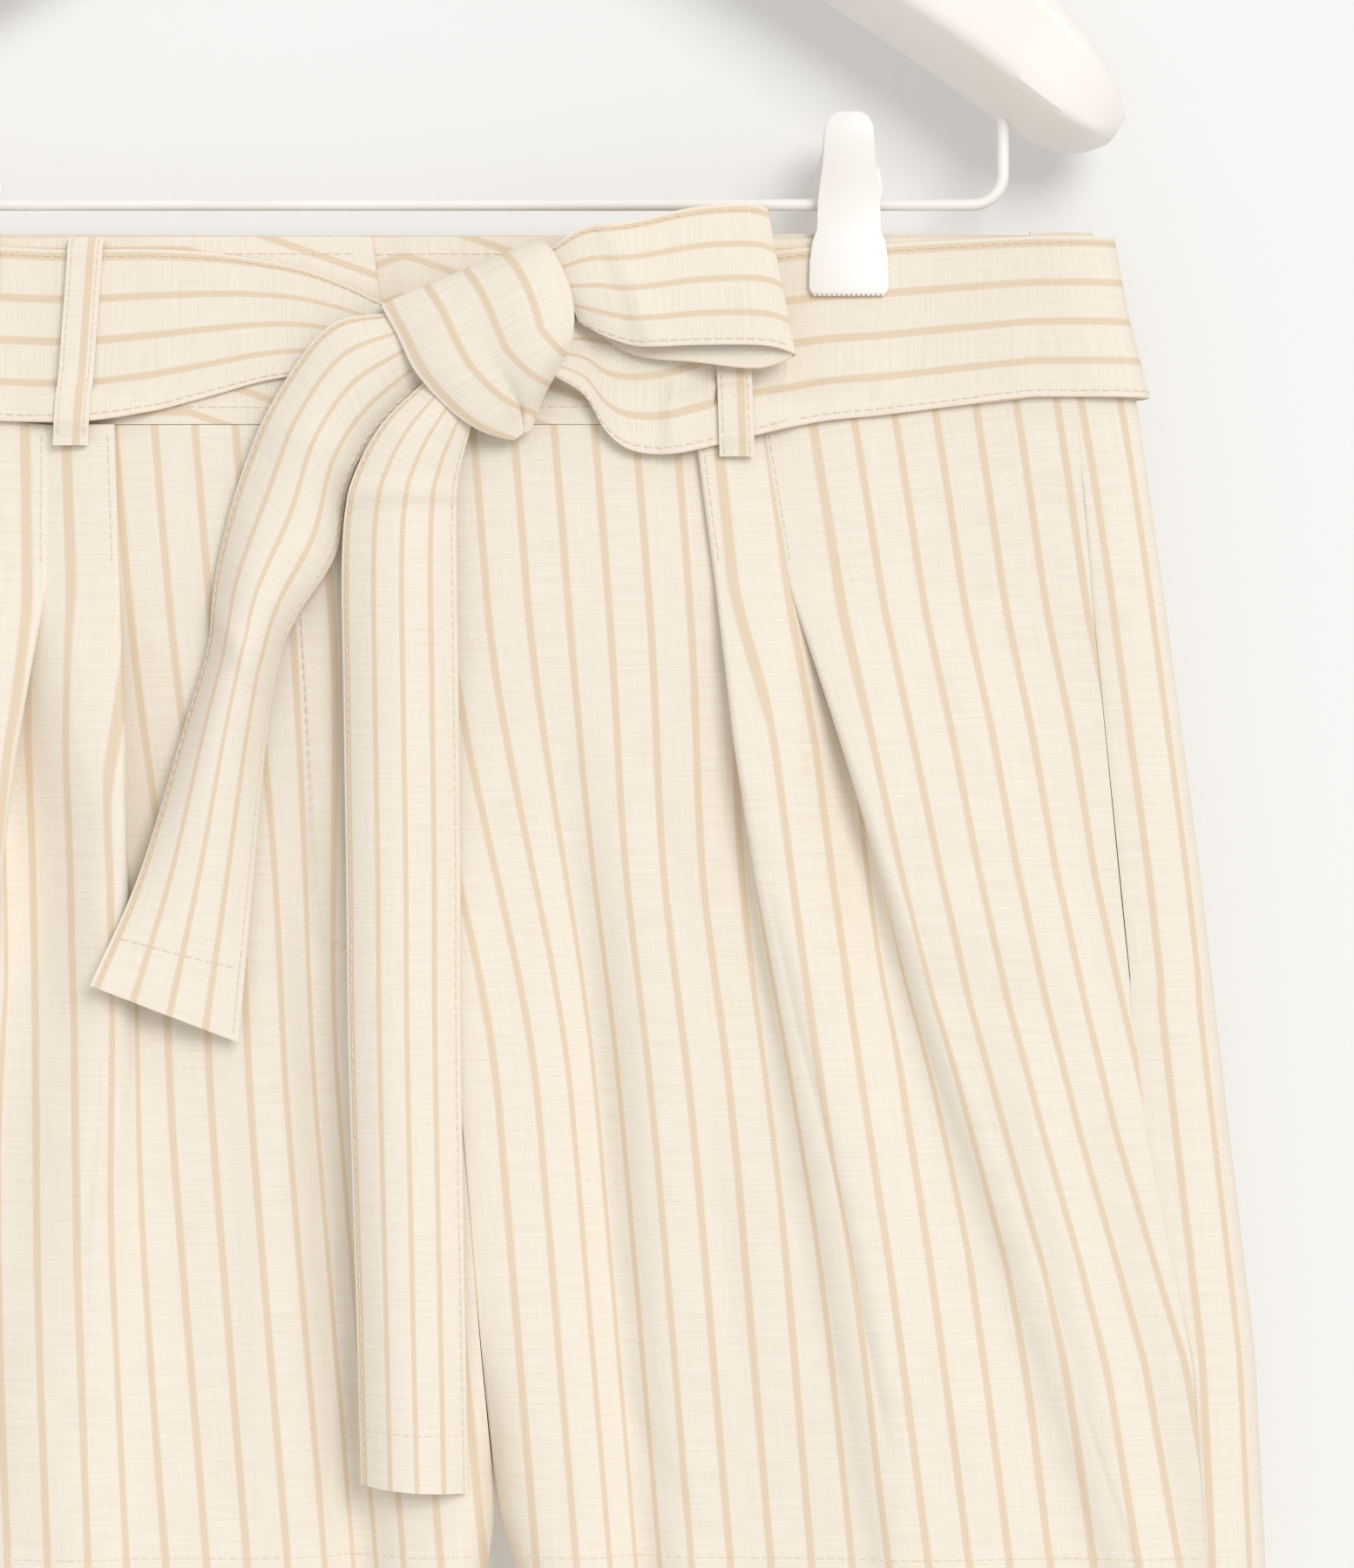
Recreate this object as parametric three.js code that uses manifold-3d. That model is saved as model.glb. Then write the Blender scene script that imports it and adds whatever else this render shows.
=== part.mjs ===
// Striped linen shorts with pleats and a tied sash, hanging from a clip hanger.
// Millimetres, +Z up. The origin is where the hook rests on its rail, the front faces -Y, and +X is to the right
// as the front is seen. Every piece of cloth is a closed wall with its real thickness.
import * as THREE from 'three';
import { mergeVertices } from 'three/addons/utils/BufferGeometryUtils.js';
import Module from 'manifold-3d';

const { clamp, degToRad, lerp, smoothstep } = THREE.MathUtils;
const wasm = await Module();
wasm.setup();

// ---- driving dimensions ----
const clothWall = 1.2; // a leg panel
const hemWall = 2.2; // a leg panel where its hem is turned up
const bandWall = 1.8; // the waistband, two layers with interfacing
const sashWall = 1.2; // the sash, two layers pressed flat
const clearance = 0.35; // between layers that lie on each other
const seamGap = 0.15; // half of the gap between two sewn pieces

const waistTop = -228;
const waistSeam = -281.5; // where the legs are sewn to the waistband
const crotch = -575.5;
const hemFold = -593;
const hemEdge = -623.5;
const lean = 28.7; // the hem hangs this far to the right of the waist
const sideRound = 17; // from the side seam, on the front, to the fold of the side
const innerRound = 14; // the rounding of the leg beside its inner seam
const flattest = 1.4; // half the depth of the garment between the jaws of a clip

const clipX = 123;
const clipHalf = 12;
const clipReach = 30; // how far beside a clip the waist is still pinched
const barZ = -220;
const wireRadius = 1.65;
const barEnd = 166; // where the bar turns up into the arm
const barBend = 8.5;

// The garment's half width and half depth, and how much of the depth a clip takes away, at each height.
const outline = [
  { z: -228, side: 190, depth: 4, pinch: 1 },
  { z: -250, side: 194, depth: 4.5, pinch: 1 },
  { z: -281.5, side: 202, depth: 5.5, pinch: 0.8 },
  { z: -333, side: 206.5, depth: 7, pinch: 0.5 },
  { z: -405, side: 210, depth: 8.5, pinch: 0.2 },
  { z: -477, side: 212, depth: 10, pinch: 0 },
  { z: -540, side: 214, depth: 11.5, pinch: 0 },
  { z: -623.5, side: 211, depth: 13, pinch: 0 },
];

// Two knife pleats on each front. edge: the fold's distance from the centre front. turn: how far the cloth turns
// back on itself, in degrees. radius: of each turn. fold: length of the layer between the two turns.
const innerPleat = [
  { z: -281.5, edge: 80.5, turn: 180, radius: 0.95, fold: 12 },
  { z: -325, edge: 82.6, turn: 180, radius: 1, fold: 12 },
  { z: -370, edge: 84, turn: 150, radius: 1.6, fold: 8 },
  { z: -405, edge: 86.8, turn: 100, radius: 2.6, fold: 4 },
  { z: -448, edge: 92, turn: 55, radius: 6, fold: 2 },
  { z: -501, edge: 99.5, turn: 38, radius: 12, fold: 1 },
  { z: -623.5, edge: 112, turn: 26, radius: 18, fold: 0.5 },
];
const outerPleat = [
  { z: -281.5, edge: 99, turn: 180, radius: 0.95, fold: 12 },
  { z: -325, edge: 102.6, turn: 180, radius: 1, fold: 12 },
  { z: -361, edge: 111.4, turn: 150, radius: 1.8, fold: 9 },
  { z: -403, edge: 121.3, turn: 100, radius: 3, fold: 4 },
  { z: -440, edge: 130, turn: 60, radius: 6, fold: 2 },
  { z: -516, edge: 152, turn: 42, radius: 11, fold: 1 },
  { z: -623.5, edge: 178, turn: 30, radius: 16, fold: 0.5 },
];
const pleats = [innerPleat, outerPleat];
const turnSteps = 3;

// A soft trough down each front, between the centre and the first pleat.
const trough = { at: 36.5, width: 10, depth: 5, from: -380, full: -480 };

const white = { color: 0xf6f3ee, roughness: 0.45, metalness: 0 };
const linen = { color: 0xf3e9da, roughness: 0.95, metalness: 0 };

const object = new THREE.Group();

// ---- helpers ----

// Linear interpolation of every column of a table whose rows go down in z.
function at(rows, z) {
  const last = rows.length - 1;
  let i = 0;
  while (i < last - 1 && rows[i + 1].z > z) i += 1;
  const share = clamp((rows[i].z - z) / (rows[i].z - rows[i + 1].z), 0, 1);
  const row = {};
  for (const key of Object.keys(rows[i])) row[key] = lerp(rows[i][key], rows[i + 1][key], share);
  return row;
}

function add(name, geometry, finish) {
  const mesh = new THREE.Mesh(geometry, new THREE.MeshStandardMaterial(finish));
  mesh.name = name;
  object.add(mesh);
  return mesh;
}

// A closed wall around a grid of points: grid[row][column], half the thickness to each side.
function wall(grid, thickness, level = false) {
  const rows = grid.length;
  const columns = grid[0].length;
  const along = new THREE.Vector3();
  const across = new THREE.Vector3();
  const position = [];
  for (const sign of [1, -1]) {
    for (let j = 0; j < rows; j += 1) {
      for (let i = 0; i < columns; i += 1) {
        across.subVectors(grid[j][Math.min(i + 1, columns - 1)], grid[j][Math.max(i - 1, 0)]);
        along.subVectors(grid[Math.min(j + 1, rows - 1)][i], grid[Math.max(j - 1, 0)][i]);
        const normal = across.clone().cross(along);
        if (level) normal.z = 0;
        const half = (typeof thickness === 'function' ? thickness(grid[j][i]) : thickness) / 2;
        const point = grid[j][i].clone().addScaledVector(normal.normalize(), sign * half);
        position.push(point.x, point.y, point.z);
      }
    }
  }
  const back = rows * columns;
  const node = (j, i) => j * columns + i;
  const index = [];
  const quad = (a, b, c, d) => index.push(a, b, c, a, c, d);
  for (let j = 0; j < rows - 1; j += 1) {
    for (let i = 0; i < columns - 1; i += 1) {
      const [a, b, c, d] = [node(j, i), node(j + 1, i), node(j + 1, i + 1), node(j, i + 1)];
      quad(a, d, c, b);
      quad(back + a, back + b, back + c, back + d);
    }
  }
  for (let j = 0; j < rows - 1; j += 1) {
    const [a, b] = [node(j, 0), node(j + 1, 0)];
    const [c, d] = [node(j, columns - 1), node(j + 1, columns - 1)];
    quad(a, b, back + b, back + a);
    quad(d, c, back + c, back + d);
  }
  for (let i = 0; i < columns - 1; i += 1) {
    const [a, b] = [node(0, i), node(0, i + 1)];
    const [c, d] = [node(rows - 1, i), node(rows - 1, i + 1)];
    quad(b, a, back + a, back + b);
    quad(c, d, back + d, back + c);
  }
  return outwards(position, index);
}

// A geometry of these points and triangles, with its faces turned to point out.
function outwards(position, index) {
  let volume = 0;
  const corner = (k) => new THREE.Vector3().fromArray(position, 3 * index[k]);
  for (let k = 0; k < index.length; k += 3) volume += corner(k).dot(corner(k + 1).cross(corner(k + 2)));
  if (volume < 0) {
    for (let k = 0; k < index.length; k += 3) [index[k], index[k + 1]] = [index[k + 1], index[k]];
  }
  const geometry = new THREE.BufferGeometry();
  geometry.setAttribute('position', new THREE.Float32BufferAttribute(position, 3));
  geometry.setIndex(index);
  geometry.computeVertexNormals();
  return geometry;
}

// A solid through closed rings of equal length, with flat ends.
function loft(rings) {
  const count = rings[0].length;
  const position = rings.flat().flatMap((point) => point.toArray());
  const index = [];
  for (let j = 0; j < rings.length - 1; j += 1) {
    for (let i = 0; i < count; i += 1) {
      const next = (i + 1) % count;
      const [a, b] = [j * count + i, j * count + next];
      index.push(a, b, b + count, a, b + count, a + count);
    }
  }
  for (const [start, turned] of [[0, true], [(rings.length - 1) * count, false]]) {
    for (let i = 1; i < count - 1; i += 1) {
      index.push(start, start + (turned ? i + 1 : i), start + (turned ? i : i + 1));
    }
  }
  return outwards(position, index);
}

function solid(geometry) {
  const bare = geometry.clone();
  bare.deleteAttribute('normal');
  bare.deleteAttribute('uv');
  const merged = mergeVertices(bare, 1e-4);
  const mesh = new wasm.Mesh({
    numProp: 3,
    vertProperties: new Float32Array(merged.attributes.position.array),
    triVerts: new Uint32Array(merged.index.array),
  });
  return new wasm.Manifold(mesh);
}

function fromSolid(manifold) {
  const mesh = manifold.getMesh();
  const geometry = new THREE.BufferGeometry();
  geometry.setAttribute('position', new THREE.Float32BufferAttribute(mesh.vertProperties, 3));
  geometry.setIndex(new THREE.Uint32BufferAttribute(mesh.triVerts, 1));
  geometry.computeVertexNormals();
  return geometry;
}

function rod(points, radius, sides, steps) {
  const circle = new THREE.Shape();
  circle.absarc(0, 0, radius, 0, 2 * Math.PI, false);
  const path = new THREE.CatmullRomCurve3(points, false, 'centripetal');
  return new THREE.ExtrudeGeometry(circle, { steps, extrudePath: path, curveSegments: sides / 2 });
}

// ---- the form of the garment ----

const centre = (z) => (z > waistSeam ? 0 : (lean * (waistSeam - z)) / (waistSeam - hemEdge));

// How far the leg's inner edge is from the centre line: a seam above the crotch, a gap below it.
const crotchShare = (z) => smoothstep(-z, 515, -crotch);
const innerEdge = (z) => seamGap + 0.8 * crotchShare(z) + 8 * smoothstep(-z, -crotch, -hemEdge);

// Half the depth at a distance s from the centre line, rounded in towards the inner seam near the crotch.
function halfDepth(s, z) {
  const row = at(outline, z);
  const beside = Math.max(Math.abs(s - clipX) - clipHalf, 0);
  const pinch = row.pinch * Math.exp(-((beside / clipReach) ** 2));
  const near = clamp(1 - (s - innerEdge(z)) / innerRound, 0, 1);
  const rounded = Math.sqrt(1 - crotchShare(z) * near * near);
  return Math.max((flattest + row.depth * (1 - pinch)) * rounded, 0.95);
}

// One front at height z, as points [distance from centre, y], from the centre seam to the side seam.
function frontSection(z) {
  const base = (s, forward) => [s, -halfDepth(s, z) - forward];
  const hollow = (s) => -trough.depth * smoothstep(-z, -trough.from, -trough.full)
    * Math.exp(-(((s - trough.at) / trough.width) ** 2));
  const inner = innerEdge(z);
  const outer = at(outline, z).side - sideRound - seamGap;
  const points = [];
  let from = inner;
  let raised = 0;
  let fadeFrom = 0;
  let fadeTo = 1;
  const plain = (s) => raised * (1 - smoothstep(s, fadeFrom, fadeTo));
  for (const [order, rows] of pleats.entries()) {
    const { edge, turn, radius, fold } = at(rows, z);
    const angle = degToRad(turn);
    const arc = (a) => [radius * Math.sin(a), radius * (1 - Math.cos(a))];
    const [overS, overY] = arc(angle);
    const start = edge - 2 * overS - fold * Math.cos(angle) + radius * Math.sin(angle / 2);
    if (order) fadeTo = Math.max(start, fadeFrom + 1);
    const steps = order ? 3 : 8;
    for (let k = 0; k < steps; k += 1) {
      const s = lerp(from, start, k / steps);
      points.push(base(s, plain(s) + (order ? 0 : hollow(s))));
    }
    const under = plain(start);
    for (let k = 0; k <= turnSteps; k += 1) {
      const [ds, dy] = arc((angle * k) / turnSteps);
      points.push(base(start + ds, under + dy));
    }
    const middle = [start + overS + fold * Math.cos(angle), under + overY + fold * Math.sin(angle)];
    for (let k = 0; k <= turnSteps; k += 1) {
      const [ds, dy] = arc(angle * (1 - k / turnSteps));
      points.push(base(middle[0] + overS - ds, middle[1] + overY - dy));
    }
    raised = middle[1] + overY;
    from = Math.max(middle[0] + overS + 1, start + 1.5);
    fadeFrom = from;
    fadeTo = from + 60;
  }
  const last = 6;
  for (let k = 0; k <= last; k += 1) {
    const s = lerp(from, outer, k / last);
    points.push(base(s, plain(s)));
  }
  return points;
}

// The outermost y of waistband or leg at x and z.
const sectionCache = new Map();
function skin(x, z) {
  const s = Math.abs(x - centre(z));
  if (z > waistSeam - 0.3) return -halfDepth(s, z) - bandWall / 2;
  if (!sectionCache.has(z)) sectionCache.set(z, frontSection(z));
  const section = sectionCache.get(z);
  let front = -halfDepth(s, z);
  for (let i = 1; i < section.length; i += 1) {
    const [a, b] = [section[i - 1], section[i]];
    if ((a[0] - s) * (b[0] - s) <= 0) front = Math.min(front, a[1], b[1]);
  }
  return front - clothWall / 2;
}

// The outermost y around x and z, for what lies over the garment. The pleats start below the waistband.
const coverReach = 9;
function cover(x, z) {
  let front = skin(x, z);
  if (z - coverReach > waistSeam) return front;
  for (const dx of [-coverReach, -4, 0, 4, coverReach]) {
    for (const dz of [-coverReach, -4, 4]) front = Math.min(front, skin(x + dx, z + dz));
  }
  return front;
}

// A point on the flattened tube behind the side seam: f = 0 at the side seam, 1 behind the side fold, 2 at the
// centre back. out: how far outside the tube's middle surface.
function behind(f, z, sign, out = 0) {
  const { side } = at(outline, z);
  const flat = side - sideRound;
  if (f <= 1) {
    const depth = halfDepth(flat, z) + out;
    const angle = f * Math.PI;
    const s = flat + (sideRound + out) * Math.sin(angle);
    return new THREE.Vector3(centre(z) + sign * s, -depth * Math.cos(angle), z);
  }
  const s = lerp(flat, innerEdge(z), f - 1);
  return new THREE.Vector3(centre(z) + sign * s, halfDepth(s, z) + out, z);
}

// ---- fronts and backs ----

const frontHeights = [-282, -303, -328, -350, -372, -395, -420, -452, -490, -530, -555, -573, hemFold, hemEdge];
const backHeights = [-282, -333, -405, -465, -515, -545, -565, hemFold, hemEdge];
const panelWall = (point) => (point.z <= hemFold ? hemWall : clothWall);

for (const [name, sign] of [['right', 1], ['left', -1]]) {
  const front = frontHeights.map((z) => frontSection(z).map(
    ([s, y]) => new THREE.Vector3(centre(z) + sign * s, y, z),
  ));
  add(`front_${name}`, wall(front, panelWall, true), linen);

  const sideSteps = 8;
  const backSteps = 9;
  const back = backHeights.map((z) => {
    const row = [];
    for (let k = 0; k <= sideSteps; k += 1) {
      const point = behind(k / sideSteps, z, sign);
      if (!k) point.x += sign * 2 * seamGap;
      row.push(point);
    }
    for (let k = 1; k <= backSteps; k += 1) row.push(behind(1 + k / backSteps, z, sign));
    return row;
  });
  add(`back_${name}`, wall(back, panelWall, true), linen);
}

// ---- waistband ----

const bandHeights = [-229.5, -250, waistSeam];
const overlapEnd = -9; // the left half of the band lies over the right one and ends here
const underlap = 40; // length of the right half that lies beneath it
const underBy = 2.2;

function frontBand(sign, from, steps, deeper) {
  return bandHeights.map((z) => {
    const to = at(outline, z).side - sideRound - seamGap;
    const row = [];
    for (let k = 0; k <= steps; k += 1) {
      const s = lerp(from, to, k / steps);
      row.push(new THREE.Vector3(sign * s, -halfDepth(Math.abs(s), z) + deeper(s), z));
    }
    return row;
  });
}
const beneath = (s) => underBy * (1 - smoothstep(s, overlapEnd, overlapEnd + 12));
add('waistband_front_left', wall(frontBand(-1, -overlapEnd, 16, () => 0), bandWall, true), linen);
add('waistband_front_right', wall(frontBand(1, overlapEnd - underlap, 22, beneath), bandWall, true), linen);

const backBand = [waistTop, -250, waistSeam].map((z) => {
  const row = [];
  for (const [sign, first, last] of [[-1, 0, 20], [1, 20, 0]]) {
    const step = Math.sign(last - first);
    for (let k = first; k !== last + step; k += step) {
      if (sign > 0 && k === 20) continue;
      const f = k <= 8 ? k / 8 : 1 + (k - 8) / 12;
      const point = behind(f, z, sign);
      if (!k) point.x += sign * 2 * seamGap;
      if (k === 20) point.x = 0;
      row.push(point);
    }
  }
  return row;
});
add('waistband_back', wall(backBand, bandWall, true), linen);

// ---- sash ----

// A ribbon through cross-sections. Each row gives its two edges (ax, az) and (bx, bz), the y of each edge, and
// how far its middle stands forward of the line between them.
function ribbon(rows, columns, refine) {
  const keys = Object.keys(rows[0]);
  const curves = keys.map((key) => new THREE.CatmullRomCurve3(
    rows.map((row, j) => new THREE.Vector3(j, row[key], 0)), false, 'centripetal',
  ));
  const count = (rows.length - 1) * refine;
  const grid = [];
  for (let j = 0; j <= count; j += 1) {
    const row = {};
    keys.forEach((key, k) => { row[key] = curves[k].getPoint(j / count).y; });
    const line = [];
    for (let i = 0; i <= columns; i += 1) {
      const t = i / columns;
      line.push(new THREE.Vector3(
        lerp(row.ax, row.bx, t),
        lerp(row.ay, row.by, t) - row.bulge * 4 * t * (1 - t),
        lerp(row.az, row.bz, t),
      ));
    }
    grid.push(line);
  }
  return grid;
}

// A stretch of the sash that lies on the waist: its edges' heights at each x, then round the side to the back.
const onBand = clearance + sashWall / 2;
const sashSide = 5; // how far outside the side of the waistband the sash passes
const sashEnd = 0.72; // where on the way round the side a front stretch ends
function waistStretch(rows, sign, columns) {
  const grid = rows.map(({ x, top, bottom, off }) => {
    const line = [];
    for (let i = 0; i <= columns; i += 1) {
      const z = lerp(top, bottom, i / columns);
      line.push(new THREE.Vector3(sign * x, cover(sign * x, z) - onBand - off, z));
    }
    return line;
  });
  const { top, bottom } = rows[rows.length - 1];
  const sideSteps = 7;
  for (let k = 1; k <= sideSteps; k += 1) {
    const f = (sashEnd * k) / sideSteps;
    const wide = bandWall / 2 + onBand + 0.2 + (sashSide - bandWall / 2) * Math.sin(f * Math.PI);
    const line = [];
    for (let i = 0; i <= columns; i += 1) line.push(behind(f, lerp(top, bottom, i / columns), sign, wide));
    grid.push(line);
  }
  return grid;
}

// x: distance from the centre. top, bottom: heights of the edges. off: clear of the waistband by this much more.
const rightStretch = [
  { x: 42, top: -255, bottom: -269, off: 8.3 },
  { x: 50, top: -252, bottom: -274, off: 3.2 },
  { x: 56, top: -249, bottom: -284, off: 3 },
  { x: 63, top: -246, bottom: -289, off: 2.4 },
  { x: 73, top: -242, bottom: -290, off: 1.2 },
  { x: 82, top: -237, bottom: -288.5, off: 0.3 },
  { x: 92, top: -234.5, bottom: -286, off: 0 },
  { x: 105, top: -233, bottom: -283.5, off: 0 },
  { x: 114, top: -232, bottom: -281, off: 0 },
  { x: 123, top: -231.7, bottom: -280, off: 0 },
  { x: 132, top: -231.3, bottom: -279, off: 0 },
  { x: 148, top: -230.5, bottom: -277, off: 0 },
  { x: 166, top: -230, bottom: -275, off: 0.2 },
  { x: 174, top: -229.5, bottom: -274, off: 0.6 },
];
const leftStretch = [
  { x: 1.5, top: -250, bottom: -266, off: 3.2 },
  { x: 8, top: -247, bottom: -268, off: 1.4 },
  { x: 16, top: -243, bottom: -268, off: 0.8 },
  { x: 28, top: -238.5, bottom: -268, off: 0.4 },
  { x: 40, top: -236, bottom: -270, off: 0.2 },
  { x: 54, top: -234, bottom: -274, off: 0 },
  { x: 72, top: -233, bottom: -278.5, off: 0 },
  { x: 91, top: -233, bottom: -281, off: 0 },
  { x: 106, top: -232.5, bottom: -281, off: 0 },
  { x: 114, top: -232, bottom: -280.5, off: 0 },
  { x: 123, top: -231.7, bottom: -280, off: 0 },
  { x: 132, top: -231.3, bottom: -279, off: 0 },
  { x: 148, top: -230.5, bottom: -277, off: 0 },
  { x: 166, top: -230, bottom: -275, off: 0.2 },
  { x: 174, top: -229.5, bottom: -274, off: 0.6 },
];
const sashRight = waistStretch(rightStretch, 1, 4);
const sashLeft = waistStretch(leftStretch, -1, 4);
add('sash_right', wall(sashRight, sashWall), linen);
add('sash_left', wall(sashLeft, sashWall), linen);

const backStretchX = [-180, -165, -148, -132, -123, -114, -100, -80, -55, -28, 0];
const backStretch = [...backStretchX, ...backStretchX.slice(0, -1).reverse().map((x) => -x)].map((x) => {
  const line = [];
  for (let i = 0; i <= 3; i += 1) {
    const z = lerp(-230.5, -275.5, i / 3);
    line.push(new THREE.Vector3(x, halfDepth(Math.abs(x), z) + bandWall / 2 + onBand, z));
  }
  return line;
});
add('sash_back', wall(backStretch, sashWall), linen);

// The wrap of the knot, from behind its top, over its front, to where it tucks in at the bottom.
const knot = [
  { ax: -1.5, az: -251, ay: -13.2, bx: 36.5, bz: -235, by: -11.5, bulge: 0.6 },
  { ax: -5.5, az: -249.5, ay: -14.5, bx: 37.7, bz: -231.7, by: -16, bulge: 1.5 },
  { ax: -1, az: -258, ay: -18, bx: 42, bz: -236, by: -21, bulge: 3 },
  { ax: 4, az: -268, ay: -19.5, bx: 46.5, bz: -247, by: -22, bulge: 4 },
  { ax: 12, az: -277, ay: -19, bx: 46.5, bz: -258, by: -21, bulge: 4 },
  { ax: 20, az: -283, ay: -17, bx: 43, bz: -266, by: -18.5, bulge: 3 },
  { ax: 27, az: -285.5, ay: -14, bx: 37.5, bz: -274, by: -15, bulge: 1.5 },
];
add('sash_knot', wall(ribbon(knot, 6, 2), sashWall), linen);

// The bow: forward layer from the knot to the fold on the right, then the rear layer back to the knot.
// a is the upper edge, b the lower edge.
const bow = [
  { ax: 41, az: -234, ay: -17.5, bx: 48.5, bz: -254, by: -17.5, bulge: 2 },
  { ax: 50, az: -228.5, ay: -18, bx: 57, bz: -258.5, by: -18.5, bulge: 2 },
  { ax: 61, az: -227, ay: -17.5, bx: 66.5, bz: -261, by: -18.5, bulge: 2 },
  { ax: 80, az: -222.6, ay: -16.5, bx: 81, bz: -260.5, by: -17.5, bulge: 1.5 },
  { ax: 94, az: -221.4, ay: -15, bx: 99, bz: -260.5, by: -16.5, bulge: 1 },
  { ax: 99.5, az: -222.5, ay: -13.5, bx: 107, bz: -262.5, by: -14.5, bulge: 0.3 },
  { ax: 98.5, az: -223, ay: -12.2, bx: 106, bz: -264, by: -13, bulge: 0 },
  { ax: 92, az: -223.5, ay: -12.2, bx: 97, bz: -266.5, by: -13, bulge: 0 },
  { ax: 78, az: -226, ay: -12.4, bx: 80, bz: -264.8, by: -13.6, bulge: 0 },
  { ax: 62, az: -231, ay: -12.6, bx: 64, bz: -263, by: -13.8, bulge: 0 },
  { ax: 50, az: -237, ay: -13, bx: 52, bz: -256, by: -14, bulge: 0 },
];
add('sash_bow', wall(ribbon(bow, 4, 2), sashWall), linen);

// The two tails, from under the knot to their ends.
const leftTail = [
  { ax: -3, az: -251.5, ay: -14, bx: 7, bz: -269, by: -14.5, bulge: 1 },
  { ax: -20, az: -255, ay: -13.5, bx: -8, bz: -285, by: -13, bulge: 2 },
  { ax: -34, az: -273, ay: -12, bx: -15.6, bz: -299, by: -12, bulge: 3 },
  { ax: -44, az: -294.6, ay: -11.5, bx: -19, bz: -318, by: -12, bulge: 3.5 },
  { ax: -51, az: -321, ay: -12, bx: -29, bz: -334, by: -13, bulge: 5 },
  { ax: -53.5, az: -343, ay: -12.5, bx: -34, bz: -346, by: -13.5, bulge: 5.5 },
  { ax: -59.5, az: -364, ay: -13.5, bx: -38, bz: -369, by: -14, bulge: 5 },
  { ax: -71.5, az: -405, ay: -18, bx: -41.5, bz: -408, by: -15, bulge: 3 },
  { ax: -84.7, az: -436, ay: -26, bx: -45, bz: -452, by: -16.5, bulge: 1 },
];
add('sash_tail_left', wall(ribbon(leftTail, 5, 2), sashWall), linen);

const rightTail = [
  { ax: 7, az: -270, ay: -17.2, bx: 19, bz: -281, by: -15.4, bulge: 1 },
  { ax: -5.5, az: -282.6, ay: -18, bx: 15.4, bz: -294, by: -13.5, bulge: 3 },
  { ax: -13.9, az: -299, ay: -18.5, bx: 14.4, bz: -304, by: -12, bulge: 4 },
  { ax: -16.3, az: -318.6, ay: -18, bx: 14.4, bz: -321, by: -11.8, bulge: 5 },
  { ax: -15.8, az: -357, ay: -17.5, bx: 14.9, bz: -357, by: -12.4, bulge: 6 },
  { ax: -15, az: -405, ay: -17.5, bx: 15.4, bz: -405, by: -13, bulge: 6 },
  { ax: -14.4, az: -453, ay: -18, bx: 15.6, bz: -453, by: -14, bulge: 6 },
  { ax: -12.2, az: -525, ay: -18.5, bx: 16.8, bz: -525, by: -15, bulge: 6 },
  { ax: -10.8, az: -573, ay: -19, bx: 17.8, bz: -576, by: -15.5, bulge: 6 },
];
add('sash_tail_right', wall(ribbon(rightTail, 5, 2), sashWall), linen);

// ---- belt loops ----

// x at the top and at the bottom, heights of both ends, and between which heights the sash lies under it.
const loopWidth = 9.6;
const loopWall = 1.2;
const loops = [
  { name: 'front_left', topX: -88, bottomX: -92, top: -229.8, bottom: -287.5, sash: [-233, -281], back: false },
  { name: 'front_right', topX: 90, bottomX: 92, top: -229.8, bottom: -290.5, sash: [-234.5, -286], back: false },
  { name: 'back_left', topX: -98, bottomX: -98, top: -229, bottom: -284, sash: [-230.5, -275.5], back: true },
  { name: 'back_centre', topX: 0, bottomX: 0, top: -229, bottom: -284, sash: [-230.5, -275.5], back: true },
  { name: 'back_right', topX: 98, bottomX: 98, top: -229, bottom: -284, sash: [-230.5, -275.5], back: true },
];
const backCover = (x, z) => {
  const half = z > waistSeam - 3 ? bandWall / 2 : clothWall / 2;
  return halfDepth(Math.abs(x - centre(z)), z) + half + 0.25;
};
// The outermost y of a stretch of the sash beside x, at height z.
const loopReach = 20;
function overSash(stretch, x, z) {
  let front = 0;
  for (const line of stretch) {
    if (Math.abs(line[0].x - x) > loopReach) continue;
    const share = clamp((line[0].z - z) / (line[0].z - line.at(-1).z), 0, 1) * (line.length - 1);
    const i = Math.min(Math.floor(share), line.length - 2);
    front = Math.min(front, lerp(line[i].y, line[i + 1].y, share - i));
  }
  return front - sashWall / 2;
}
for (const { name, topX, bottomX, top, bottom, sash, back } of loops) {
  const onCloth = clearance + loopWall / 2;
  const heights = [top, sash[0] + 1, sash[0] - 2, -250, -264, -273, sash[1] + 1, sash[1] - 1.5, bottom];
  const grid = heights.map((z, j) => {
    const x = lerp(topX, bottomX, (top - z) / (top - bottom));
    const ends = j === 0 || j === heights.length - 1;
    let middle = back ? backCover(x, z) + onCloth : cover(x, z) - onCloth;
    if (!ends && back) middle += sashWall + 2 * clearance;
    if (!ends && !back) middle = Math.min(middle, overSash(x > 0 ? sashRight : sashLeft, x, z) - onCloth);
    return [-0.5, 0, 0.5].map((t) => new THREE.Vector3(x + t * loopWidth, middle, z));
  });
  add(`belt_loop_${name}`, wall(grid, loopWall), linen);
}

// ---- hanger ----

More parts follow.
